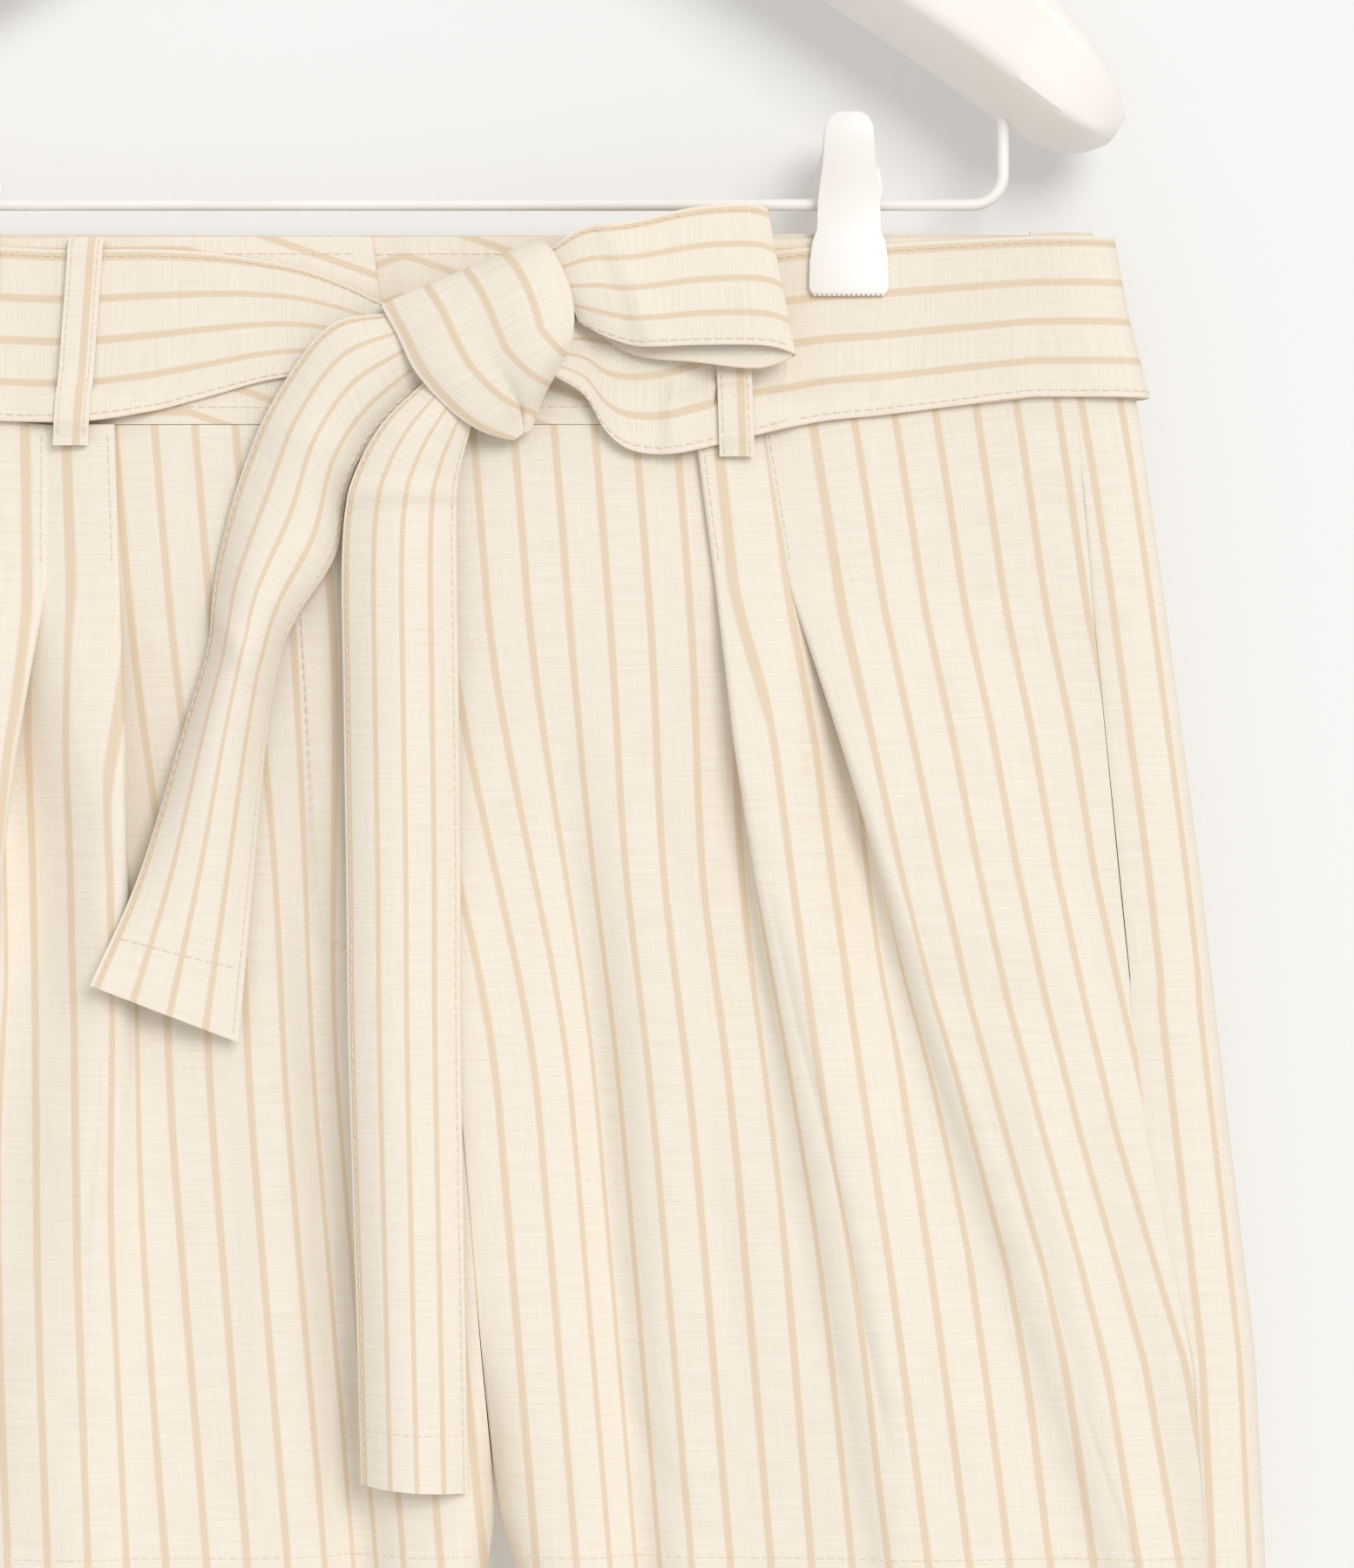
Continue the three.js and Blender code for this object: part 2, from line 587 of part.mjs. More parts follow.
// The arms: one shaped bar whose front is flat and whose underside is bevelled. Each section is drawn across the
// arm: up is along the arm's own up direction, deep is towards the back.
const armSlope = degToRad(32.7);
const armPeak = -76;
const armTip = 199;
const armSection = [
  { deep: -0.5, up: 9 },
  { deep: -0.5, up: -13 },
  { deep: -0.16, up: -21.5 },
  { deep: 0.14, up: -23 },
  { deep: 0.42, up: -17 },
  { deep: 0.5, up: -6 },
  { deep: 0.46, up: 8 },
  { deep: 0.28, up: 14.5 },
  { deep: -0.22, up: 15.5 },
  { deep: -0.42, up: 13.5 },
];
const armDepth = [20, 42]; // at the neck and at the tip
const peakRound = 26;
const shoulderRound = 50; // how far before the tip the upper edge starts to come down
const undersideRound = 24; // the same for the lower edge, which stays full for longer
const tipDroop = 11;
const bluntTip = 0.24; // what is left of the section at the very end

function armRing(x) {
  const run = Math.abs(x);
  const rise = Math.hypot(run, peakRound) - peakRound;
  const slope = (run / Math.hypot(run, peakRound)) * armSlope * Math.sign(x);
  const near = (round) => clamp((run - (armTip - round)) / round, 0, 1);
  const left = (round) => Math.max(Math.sqrt(1 - near(round) ** 2), bluntTip);
  const depth = lerp(armDepth[0], armDepth[1], run / armTip) * lerp(1, left(undersideRound), 0.9);
  const z = armPeak - rise * Math.tan(armSlope) - tipDroop * near(shoulderRound) ** 2;
  return armSection.map(({ deep, up }) => {
    const height = up * left(up > 0 ? shoulderRound : undersideRound);
    return new THREE.Vector3(x + height * Math.sin(slope), deep * depth, z + height * Math.cos(slope));
  });
}
const armStations = [0, 14, 30, 55, 85, 115, 145, 166, 178, 187, 193, 196.5];
const rings = [...armStations.slice(1).reverse().map((x) => -x), ...armStations].map(armRing);
const arms = solid(loft(rings));

// The bar: one wire whose ends turn up into the arms. It is three pieces end to end, so that each is straight or
// a plain bend.
const barPath = (sign) => {
  const points = [];
  for (let k = 0; k <= 4; k += 1) {
    const angle = (k / 4) * (Math.PI / 2);
    const x = barEnd - barBend + barBend * Math.sin(angle);
    points.push(new THREE.Vector3(sign * x, 0, barZ + barBend - barBend * Math.cos(angle)));
  }
  return points;
};
const socketTop = -176;
const dropWire = (sign, radius) => rod([
  new THREE.Vector3(sign * (barEnd - barBend - 6), 0, barZ),
  ...barPath(sign),
  new THREE.Vector3(sign * barEnd, 0, lerp(barZ, socketTop, 0.6)),
  new THREE.Vector3(sign * barEnd, 0, socketTop),
], radius, 8, 16);
const sockets = [1, -1].map((sign) => solid(dropWire(sign, wireRadius + 0.3)));
const stemRadius = 2;
const stemFoot = -84;
const hookRadius = 22;
const hookCentre = stemRadius - hookRadius;
const hookPath = [
  new THREE.Vector3(0, 0, stemFoot),
  new THREE.Vector3(0, 0, -68),
  new THREE.Vector3(0, 0, -56),
  new THREE.Vector3(4, 0, -47),
];
for (let k = 0; k <= 9; k += 1) {
  const angle = degToRad(lerp(-42, 196, k / 9));
  hookPath.push(new THREE.Vector3(hookRadius * Math.cos(angle), 0, hookCentre + hookRadius * Math.sin(angle)));
}
const stemSocket = solid(rod([new THREE.Vector3(0, 0, stemFoot - 0.3), new THREE.Vector3(0, 0, -40)],
  stemRadius + 0.3, 8, 1));
const drilled = arms.subtract(sockets[0]).subtract(sockets[1]).subtract(stemSocket);
add('hanger_arms', fromSolid(drilled), white);
add('hanger_hook', rod(hookPath, stemRadius, 8, 30), white);

const middleBar = barEnd - barBend - 6 - 0.3;
add('hanger_bar', rod([new THREE.Vector3(-middleBar, 0, barZ), new THREE.Vector3(middleBar, 0, barZ)],
  wireRadius, 8, 1), white);
add('hanger_drop_right', dropWire(1, wireRadius), white);
add('hanger_drop_left', dropWire(-1, wireRadius), white);

// ---- clips ----

// A clip is two levers that grip the waist below the bar, and a spring sleeve round the bar between them.
// z: height. half: half the lever's width. out: distance of the lever's middle surface from the bar's plane.
const lever = [
  { z: -195.2, half: 3.2, out: 9.2 },
  { z: -196.6, half: 5.3, out: 9.4 },
  { z: -199.4, half: 6.7, out: 9.6 },
  { z: -204, half: 7, out: 9.2 },
  { z: -210, half: 7.4, out: 7.8 },
  { z: -215.5, half: 8.2, out: 6 },
  { z: -220, half: 8.7, out: 5.3 },
  { z: -227.5, half: 8.9, out: 5.1 },
  { z: -231, half: 10.2, out: 5.05 },
  { z: -236, half: 10.9, out: 5.05 },
  { z: -243.5, half: 11.1, out: 5.1 },
  { z: -245.2, half: 10.3, out: 5.3 },
];
const leverWall = 1.6;
const sleeve = { inner: wireRadius + 0.3, outer: 3.9, half: 6.5 };

for (const [name, sign] of [['right', 1], ['left', -1]]) {
  for (const [place, face] of [['front', -1], ['rear', 1]]) {
    const grid = lever.map(({ z, half, out }) => [-1, -0.5, 0, 0.5, 1].map((t) => {
      const ear = place === 'rear' && z < -207 && z > -217 ? 1.8 : 0;
      return new THREE.Vector3(sign * clipX + t * (half + ear), face * out, z);
    }));
    add(`clip_${name}_${place}`, wall(grid, leverWall), white);
  }
  const profile = [
    new THREE.Vector2(sleeve.inner, -sleeve.half),
    new THREE.Vector2(sleeve.outer, -sleeve.half),
    new THREE.Vector2(sleeve.outer, sleeve.half),
    new THREE.Vector2(sleeve.inner, sleeve.half),
    new THREE.Vector2(sleeve.inner, -sleeve.half),
  ];
  const ring = new THREE.LatheGeometry(profile, 12);
  ring.rotateZ(Math.PI / 2);
  const spring = add(`clip_${name}_spring`, ring, white);
  spring.position.set(sign * clipX, 0, barZ);
}

export default object;
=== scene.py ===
# Striped linen shorts with pleats and a tied sash on a white clip hanger.
# Metres in Blender; the tables below are in millimetres and are scaled by mm.
import math
import bpy
import numpy as np
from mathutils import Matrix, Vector


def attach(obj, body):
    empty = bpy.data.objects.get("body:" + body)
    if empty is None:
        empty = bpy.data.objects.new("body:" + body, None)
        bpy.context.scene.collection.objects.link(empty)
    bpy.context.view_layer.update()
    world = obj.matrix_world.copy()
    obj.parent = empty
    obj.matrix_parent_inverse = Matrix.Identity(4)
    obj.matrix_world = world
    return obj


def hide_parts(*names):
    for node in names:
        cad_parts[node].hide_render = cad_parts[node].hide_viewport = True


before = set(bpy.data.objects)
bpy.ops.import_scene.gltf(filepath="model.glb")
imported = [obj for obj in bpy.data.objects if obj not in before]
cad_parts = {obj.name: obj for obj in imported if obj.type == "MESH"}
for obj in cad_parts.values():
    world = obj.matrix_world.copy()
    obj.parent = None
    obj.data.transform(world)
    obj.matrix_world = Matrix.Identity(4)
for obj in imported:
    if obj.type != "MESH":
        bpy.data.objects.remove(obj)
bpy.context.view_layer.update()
mm = 0.001


# Helpers.

def srgb(hexText):
    values = [int(hexText[i:i + 2], 16) / 255 for i in (1, 3, 5)]
    linear = [v / 12.92 if v <= 0.04045 else ((v + 0.055) / 1.055) ** 2.4 for v in values]
    return (*linear, 1.0)


def smoothStep(value, low, high):
    share = np.clip((value - low) / (high - low), 0, 1)
    return share * share * (3 - 2 * share)


def tableAt(rows, key, z):
    # linear between the rows of a table that goes down in z
    heights = [-row["z"] for row in rows]
    return float(np.interp(-z, heights, [row[key] for row in rows]))


def table(columns, rows):
    # a list of rows with named columns
    names = columns.split()
    return [dict(zip(names, row)) for row in rows]


def splineRows(rows, perRow):
    # every column of a table, smoothed between its rows
    keys = list(rows[0])
    table = np.array([[row[key] for key in keys] for row in rows], float)
    ends = np.vstack([2 * table[0] - table[1], table, 2 * table[-1] - table[-2]])
    smooth = []
    count = (len(rows) - 1) * perRow
    for step in range(count + 1):
        place = step / perRow
        i = min(int(place), len(rows) - 2)
        t = place - i
        a, b, c, d = ends[i:i + 4]
        bend, twist = 2 * a - 5 * b + 4 * c - d, 3 * b - a - 3 * c + d
        value = 0.5 * (2 * b + (c - a) * t + bend * t * t + twist * t ** 3)
        smooth.append(dict(zip(keys, value)))
    return smooth


def setMode(mode):
    bpy.ops.object.mode_set(mode=mode)


def deselectAll():
    if bpy.context.object and bpy.context.object.mode != "OBJECT":
        setMode("OBJECT")
    bpy.ops.object.select_all(action="DESELECT")


def useOnly(piece):
    deselectAll()
    piece.select_set(True)
    bpy.context.view_layer.objects.active = piece


def applyModifiers(piece):
    useOnly(piece)
    for modifier in list(piece.modifiers):
        bpy.ops.object.modifier_apply(modifier=modifier.name)


def placeInMesh(piece):
    useOnly(piece)
    bpy.ops.object.transform_apply(location=True, rotation=True, scale=True)


def turnOutwards(piece):
    useOnly(piece)
    setMode("EDIT")
    bpy.ops.mesh.select_all(action="SELECT")
    bpy.ops.mesh.normals_make_consistent(inside=False)
    setMode("OBJECT")


def extrude(x, y, z):
    # what is selected, by so many millimetres
    bpy.ops.mesh.extrude_region_move(TRANSFORM_OT_translate={"value": (x * mm, y * mm, z * mm)})


def pieceFrom(name, verts, faces, material):
    mesh = bpy.data.meshes.new(name)
    mesh.from_pydata(verts, [], faces)
    mesh.materials.append(material)
    piece = bpy.data.objects.new(name, mesh)
    bpy.context.collection.objects.link(piece)
    return piece


def bindPiece(piece, nodes):
    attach(piece, "root")
    if nodes:
        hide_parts(*nodes)


# Materials.

def addNode(nodes, links, kind, inputs=None, **settings):
    # inputs: socket name or number -> a value, or a socket to link from
    node = nodes.new(kind)
    for name, value in settings.items():
        setattr(node, name, value)
    for name, value in (inputs or {}).items():
        if isinstance(value, bpy.types.NodeSocket):
            links.new(value, node.inputs[name])
        else:
            node.inputs[name].default_value = value
    return node


def newMaterial(name):
    material = bpy.data.materials.new(name)
    material.use_nodes = True
    nodes, links = material.node_tree.nodes, material.node_tree.links
    nodes.clear()
    output = nodes.new("ShaderNodeOutputMaterial")
    shader = nodes.new("ShaderNodeBsdfPrincipled")
    links.new(shader.outputs[0], output.inputs[0])
    return material, nodes, links, shader


linenLook = {
    "ground": "#F4EBDE",  # undyed cream
    "groundShade": "#EDE1CF",  # where the slubs are
    "stripe": "#E3CCAE",  # beige warp threads
    "stripePitch": 11.2,  # mm, the same number as in the maps of the cloth
    "stripeHalf": 1.05,
    "stripeSoft": 0.3,  # mm, how gradually a stripe's edge fades
    "dash": 0.22,  # how much the twill breaks up a stripe
    "dashMean": 0.76,
    "twillPitch": 1.1,  # mm; real twill lines are half that and wouldn't show
    "twillRelief": 0.35,
    "yarnRelief": 1.2,
    "roughness": 0.92,
}


def stripedLinen(name, twillLean):
    # Linen and cotton twill, woven: fine slanting lines, thick and thin yarns, dull with a faint nap.
    # The stripes are darker warp threads, so they run along the cloth and break up into the twill's dashes.
    look = linenLook
    material, nodes, links, shader = newMaterial(name)
    uv = addNode(nodes, links, "ShaderNodeUVMap", uv_map="cloth")
    split = addNode(nodes, links, "ShaderNodeSeparateXYZ", {0: uv.outputs[0]})
    made = {"across": split.outputs[0], "along": split.outputs[1]}
    soft = look["stripeSoft"]
    # each row: what it makes, kind of node, settings, and inputs, which may name what an earlier row made
    steps = [
        ("fromStripe", "Math", {"operation": "PINGPONG"}, {0: "across", 1: look["stripePitch"] / 2}),
        ("core", "MapRange", {}, {0: "fromStripe", 1: look["stripeHalf"] - soft, 2: look["stripeHalf"] + soft,
                                  3: 1.0, 4: 0.0}),
        ("lean", "Math", {"operation": "MULTIPLY"}, {0: "across", 1: twillLean}),
        ("slant", "Math", {"operation": "ADD"}, {0: "lean", 1: "along"}),
        ("phase", "Math", {"operation": "MULTIPLY"}, {0: "slant", 1: 2 * math.pi / look["twillPitch"]}),
        ("twill", "Math", {"operation": "SINE"}, {0: "phase"}),
        ("dash", "Math", {"operation": "MULTIPLY_ADD"}, {0: "twill", 1: look["dash"], 2: look["dashMean"]}),
        ("weftX", "Math", {"operation": "MULTIPLY"}, {0: "across", 1: 0.05}),
        ("weftY", "Math", {"operation": "MULTIPLY"}, {0: "along", 1: 1.6}),
        ("weft", "CombineXYZ", {}, {0: "weftX", 1: "weftY"}),
        ("weftSlub", "TexNoise", {"noise_dimensions": "2D"}, {"Vector": "weft", "Scale": 1.0, "Detail": 3.0}),
        ("warpX", "Math", {"operation": "MULTIPLY"}, {0: "across", 1: 2.2}),
        ("warpY", "Math", {"operation": "MULTIPLY"}, {0: "along", 1: 0.06}),
        ("warp", "CombineXYZ", {}, {0: "warpX", 1: "warpY"}),
        ("warpSlub", "TexNoise", {"noise_dimensions": "2D"}, {"Vector": "warp", "Scale": 1.0, "Detail": 2.0}),
        ("weftShare", "Math", {"operation": "MULTIPLY"}, {0: "weftSlub", 1: 0.6}),
        ("warpShare", "Math", {"operation": "MULTIPLY"}, {0: "warpSlub", 1: 0.4}),
        ("yarns", "Math", {"operation": "ADD"}, {0: "weftShare", 1: "warpShare"}),
        ("faintTwill", "Math", {"operation": "MULTIPLY"}, {0: "twill", 1: 0.05}),
        ("lines", "Math", {"operation": "ADD"}, {0: "yarns", 1: "faintTwill"}),
        ("slubby", "MapRange", {}, {0: "lines", 1: 0.4, 2: 0.66, 3: 0.0, 4: 0.85}),
        ("ground", "Mix", {"data_type": "RGBA"},
         {0: "slubby", 6: srgb(look["ground"]), 7: srgb(look["groundShade"])}),
        ("stripeShare", "Math", {"operation": "MULTIPLY"}, {0: "core", 1: "dash"}),
        ("striped", "Mix", {"data_type": "RGBA"}, {0: "stripeShare", 6: "ground", 7: srgb(look["stripe"])}),
        ("twillRelief", "Math", {"operation": "MULTIPLY"}, {0: "twill", 1: look["twillRelief"]}),
        ("yarnRelief", "Math", {"operation": "MULTIPLY"}, {0: "yarns", 1: look["yarnRelief"]}),
        ("relief", "Math", {"operation": "ADD"}, {0: "twillRelief", 1: "yarnRelief"}),
        ("bump", "Bump", {}, {"Strength": 0.42, "Distance": 0.00016, "Height": "relief"}),
    ]
    for step, kind, settings, inputs in steps:
        inputs = {key: made.get(value, value) for key, value in inputs.items()}
        node = addNode(nodes, links, "ShaderNode" + kind, inputs, **settings)
        made[step] = node.outputs[2 if kind == "Mix" else 0]
    links.new(made["striped"], shader.inputs["Base Color"])
    links.new(made["bump"], shader.inputs["Normal"])
    shader.inputs["Roughness"].default_value = look["roughness"]
    shader.inputs["Sheen Weight"].default_value = 0.12
    shader.inputs["Specular IOR Level"].default_value = 0.25
    return material


def threadMaterial():
    # Cream polyester sewing thread, twisted: a little smoother than the cloth.
    material, nodes, links, shader = newMaterial("sewingThread")
    place = addNode(nodes, links, "ShaderNodeTexCoord")
    fibre = addNode(nodes, links, "ShaderNodeTexNoise", {"Vector": place.outputs["Object"], "Scale": 2500.0})
    tone = addNode(nodes, links, "ShaderNodeMix",
                   {0: fibre.outputs[0], 6: srgb("#F3E8D6"), 7: srgb("#E8DAC3")}, data_type="RGBA")
    links.new(tone.outputs[2], shader.inputs["Base Color"])
    shader.inputs["Roughness"].default_value = 0.7
    return material


def moulded(name, shade, roughness, grain, strength):
    # Injection moulded or sprayed white: fine orange peel, soft highlights.
    material, nodes, links, shader = newMaterial(name)
    place = addNode(nodes, links, "ShaderNodeTexCoord")
    peel = addNode(nodes, links, "ShaderNodeTexNoise",
                   {"Vector": place.outputs["Object"], "Scale": 1 / (grain * mm), "Detail": 2.0})
    bump = addNode(nodes, links, "ShaderNodeBump",
                   {"Strength": strength, "Distance": 0.0001, "Height": peel.outputs[0]})
    cloud = addNode(nodes, links, "ShaderNodeTexNoise", {"Vector": place.outputs["Object"], "Scale": 30.0})
    tone = addNode(nodes, links, "ShaderNodeMix",
                   {0: cloud.outputs[0], 6: srgb(shade), 7: srgb("#F4EEE6")}, data_type="RGBA")
    links.new(tone.outputs[2], shader.inputs["Base Color"])
    links.new(bump.outputs[0], shader.inputs["Normal"])
    shader.inputs["Roughness"].default_value = roughness
    return material


legLinen = stripedLinen("linenTwillLegs", 1.0)
sashLinen = stripedLinen("linenTwillSash", -1.0)
thread = threadMaterial()
hangerPaint = moulded("sprayedWhiteArms", "#FAF6F1", 0.42, 1.2, 0.12)
clipPlastic = moulded("mouldedWhiteClip", "#FDFBF8", 0.35, 0.6, 0.1)
wireEnamel = moulded("whiteEnamelWire", "#FBF9F5", 0.3, 0.8, 0.06)
print("materials made")


# The form of the garment, which every piece of cloth follows.

waist = {"top": -228.0, "seam": -281.5, "bandWall": 1.8}
legs = {"crotch": -575.5, "hem": -623.5, "lean": 28.7, "wall": 0.9, "hemEdge": -592.0, "hemStitch": -595.5,
        "crotchFrom": -515.0, "innerGap": 0.05, "innerCurve": 0.55, "innerOut": 8.0}
trough = {"s": 38.0, "wide": 8.5, "deep": 8.0, "from": -330.0, "to": -470.0}  # beside the centre front
sideRound, innerRound, flattest = 17.0, 14.0, 1.4
clip = {"x": 123.0, "half": 12.0, "reach": 30.0}

outline = table("z side depth pinch seamIn", [
    (-228, 190, 4, 1, 0),
    (-250, 194, 4.5, 1, 0),
    (-281.5, 202, 5.5, 0.8, 0),
    (-333, 206.5, 7, 0.5, 3.5),
    (-405, 210, 8.5, 0.2, 6),
    (-477, 212, 10, 0, 7),
    (-540, 214, 11.5, 0, 1.5),
    (-623.5, 211, 13, 0, 0),
])
innerPleat = table("z edge turn radius fold", [
    (-281.5, 80.5, 180, 0.8, 12),
    (-325, 82.6, 180, 0.9, 12),
    (-370, 84, 150, 1.6, 8),
    (-405, 86.8, 100, 2.6, 4),
    (-448, 92, 55, 6, 2),
    (-501, 99.5, 38, 12, 1),
    (-623.5, 112, 26, 18, 0.5),
])
outerPleat = table("z edge turn radius fold", [
    (-281.5, 99, 180, 0.8, 12),
    (-325, 102.6, 180, 0.9, 12),
    (-361, 111.4, 150, 1.8, 9),
    (-403, 121.3, 95, 3, 4),
    (-440, 130, 52, 7, 1.5),
    (-516, 152, 30, 14, 0.8),
    (-623.5, 178, 22, 19, 0.5),
])


def centreAt(z):
    if z > waist["seam"]:
        return 0.0
    return legs["lean"] * (waist["seam"] - z) / (waist["seam"] - legs["hem"])


def crotchShare(z):
    return float(smoothStep(-z, -legs["crotchFrom"], -legs["crotch"]))


def innerEdge(z):
    outwards = float(smoothStep(-z, -legs["crotch"], -legs["hem"]))
    return legs["innerGap"] + legs["innerCurve"] * crotchShare(z) + legs["innerOut"] * outwards


def halfDepth(s, z):
    beside = max(abs(s - clip["x"]) - clip["half"], 0)
    pinch = tableAt(outline, "pinch", z) * math.exp(-(beside / clip["reach"]) ** 2)
    near = min(max(1 - (s - innerEdge(z)) / innerRound, 0), 1)
    rounded = math.sqrt(max(1 - crotchShare(z) * near * near, 0))
    return max((flattest + tableAt(outline, "depth", z) * (1 - pinch)) * rounded, 0.7)


# Creases given one by one. s and z: where each starts, run: how far down it goes, slope: how far out it
# drifts for
# each millimetre down, wide and deep: its size. A minus deep is a ridge.
frontCreases = table("s z run slope wide deep", [
    (58, -352, 95, 0.10, 4.5, 0.9),
    (66, -455, 120, 0.06, 5, 1.1),
    (140, -318, 90, 0.22, 5, -0.7),
    (168, -362, 110, 0.14, 4.5, 0.9),
    (120, -500, 105, 0.20, 5.5, -1.0),
    (24, -520, 90, 0.45, 4, 0.9),
])
backCreases = table("s z run slope wide deep", [
    (14, -330, 150, 0.28, 6, 1.6),
    (40, -470, 120, 0.35, 5, -1.5),
    (12, -520, 70, 0.9, 4, 1.3),
    (92, -300, 170, 0.05, 7, 1.8),
    (118, -420, 180, 0.12, 8, -1.8),
    (150, -345, 140, 0.16, 5.5, 1.3),
    (74, -545, 70, -0.3, 5, 1.2),
])


def handCreases(rows, s, z):
    total = 0.0
    for row in rows:
        share = (row["z"] - z) / row["run"]
        if 0 < share < 1:
            off = s - row["s"] - row["slope"] * (row["z"] - z)
            total -= row["deep"] * math.sin(math.pi * share) ** 2 * math.exp(-(off / row["wide"]) ** 2)
    return total


# Shallow ripples: size, wavelengths across and down, and how they lean and shift from leg to leg.
ripples = table("size across lean shift down downShift start", [
    (0.8, 9.0, 0.012, 1, 70.0, 1.3, 0.0),
    (0.35, 5.3, -0.02, 2, 41.0, 0.0, 2.0),
    (0.9, 17.0, 0.0, 0.9, 110.0, 0.7, 0.0),
])
drags = table("deep s wide", [(1.6, 150, 6.5), (-1.3, 163, 7)])  # a ridge and a trough that drift outwards


def creases(s, z, side):
    # Ripples that long hanging leaves in linen, uneven along their length. Forward is positive.
    wave = sum(row["size"] * math.sin(s / row["across"] + row["lean"] * z + row["shift"] * side)
               * math.sin(z / row["down"] + row["downShift"] * side + row["start"]) for row in ripples)
    drag = sum(row["deep"] * math.exp(-((s - row["s"] - 0.16 * (-z - 430)) / row["wide"]) ** 2)
               for row in drags) * smoothStep(-z, 420, 500)
    off = s - trough["s"] + 0.01 * (z + 500)
    hollow = -trough["deep"] * math.exp(-(off / trough["wide"]) ** 2)
    hollow *= smoothStep(-z, -trough["from"], -trough["to"])
    byHand = handCreases(frontCreases, s + 3 * (side - 1), z)
    return smoothStep(-z, 285, 400) * wave + drag + hollow + byHand


def seamAt(z):
    # where the side seam lies on the front, measured from the leg's centre line
    return tableAt(outline, "side", z) - sideRound - tableAt(outline, "seamIn", z)


def frontSection(z, side, places=None):
    # points (distance from the centre, y) from the centre seam to the side seam; places collects what each
    # point is part of: 0, 2 and 4 are the flat stretches, 1 and 3 are the pleats
    inner, outer = innerEdge(z), seamAt(z)
    points = []
    places = places if places is not None else []
    start, raised, fadeFrom, fadeTo = inner, 0.0, 0.0, 1.0
    turnSteps, foldSteps = 8, 3

    def put(s, forward, place):
        points.append((s, -halfDepth(s, z) - forward))
        places.append(place)

    def plain(s):
        return raised * (1 - float(smoothStep(s, fadeFrom, fadeTo))) + creases(s, z, side)

    for order, rows in enumerate((innerPleat, outerPleat)):
        edge, turn, radius, fold = (tableAt(rows, key, z) for key in ("edge", "turn", "radius", "fold"))
        angle = math.radians(turn)
        over = (radius * math.sin(angle), radius * (1 - math.cos(angle)))
        turnIn = edge - 2 * over[0] - fold * math.cos(angle) + radius * math.sin(angle / 2)
        if order:
            fadeTo = max(turnIn, fadeFrom + 1)
        flatSteps = 9 if order else 42
        for k in range(flatSteps):
            s = start + (turnIn - start) * k / flatSteps
            put(s, plain(s), 2 * order)
        under = plain(turnIn)
        for k in range(turnSteps + 1):
            a = angle * k / turnSteps
            put(turnIn + radius * math.sin(a), under + radius * (1 - math.cos(a)), 2 * order + 1)
        for k in range(1, foldSteps):
            part = fold * k / foldSteps
            put(turnIn + over[0] + part * math.cos(angle), under + over[1] + part * math.sin(angle),
                2 * order + 1)
        s0 = turnIn + over[0] + fold * math.cos(angle)
        y0 = under + over[1] + fold * math.sin(angle)
        for k in range(turnSteps + 1):
            a = angle * (1 - k / turnSteps)
            put(s0 + over[0] - radius * math.sin(a), y0 + over[1] - radius * (1 - math.cos(a)), 2 * order + 1)
        raised = y0 + over[1] - creases(turnIn, z, side)
        start = max(s0 + over[0] + 1, turnIn + 1.5)
        fadeFrom, fadeTo = start, start + 60
    last = 34
    for k in range(last + 1):
        s = start + (outer - start) * k / last
        put(s, plain(s), 4)
    return points


def behindSide(f, z, out=0.0):
    # (distance from the centre, y) behind the side seam: f 0 at the seam, 1 behind the fold, 2 centre back
    flat = tableAt(outline, "side", z) - sideRound
    if f <= 1:
        depth = halfDepth(flat, z) + out
        return flat + (sideRound + out) * math.sin(f * math.pi), -depth * math.cos(f * math.pi)
    s = flat + (innerEdge(z) - flat) * (f - 1)
    return s, halfDepth(s, z) + out


skinCache = {}


def skinAt(x, z):
    # outermost y of waistband or leg
    s = abs(x - centreAt(z))
    if z > waist["seam"] - 0.3:
        return -halfDepth(s, z) - waist["bandWall"] / 2
    key = (round(z, 1), x > 0)
    if key not in skinCache:
        skinCache[key] = np.array(frontSection(z, 1 if x > 0 else 2))
    points = skinCache[key]
    a, b = points[:-1], points[1:]
    hit = (a[:, 0] - s) * (b[:, 0] - s) <= 0
    front = -halfDepth(s, z)
    if hit.any():
        front = min(front, a[hit, 1].min(), b[hit, 1].min())
    return front - legs["wall"] / 2


def coverAt(x, z, reach=9.0):
    front = skinAt(x, z)
    if z - reach > waist["seam"]:
        return front
    for dx in (-reach, -4, 0, 4, reach):
        for dz in (-reach, -4, 4):
            front = min(front, skinAt(x + dx, round((z + dz) / 2) * 2))
    return front


# Sheets of cloth and rows of stitches.

def clothPiece(name, grid, maps, material, wall, node, flip=False, smooth=60):
    # grid[row][column] of points in millimetres; maps[row][column] of (across, along) in millimetres of cloth
    rows, columns = len(grid), len(grid[0])
    verts = [tuple(c * mm for c in point) for line in grid for point in line]
    faces = []
    for j in range(rows - 1):
        for i in range(columns - 1):
            a = j * columns + i
            quad = (a, a + columns, a + columns + 1, a + 1)
            faces.append(quad[::-1] if flip else quad)
    piece = pieceFrom(name, verts, faces, material)
    layer = piece.data.uv_layers.new(name="cloth")
    flat = [value for line in maps for value in line]
    for loop in piece.data.loops:
        layer.data[loop.index].uv = flat[loop.vertex_index]
    thick = piece.modifiers.new("wall", "SOLIDIFY")
    thick.thickness, thick.offset, thick.use_even_offset = wall * mm, 0.0, False
    applyModifiers(piece)
    useOnly(piece)
    bpy.ops.object.shade_smooth_by_angle(angle=math.radians(smooth))
    bindPiece(piece, [node])
    return piece


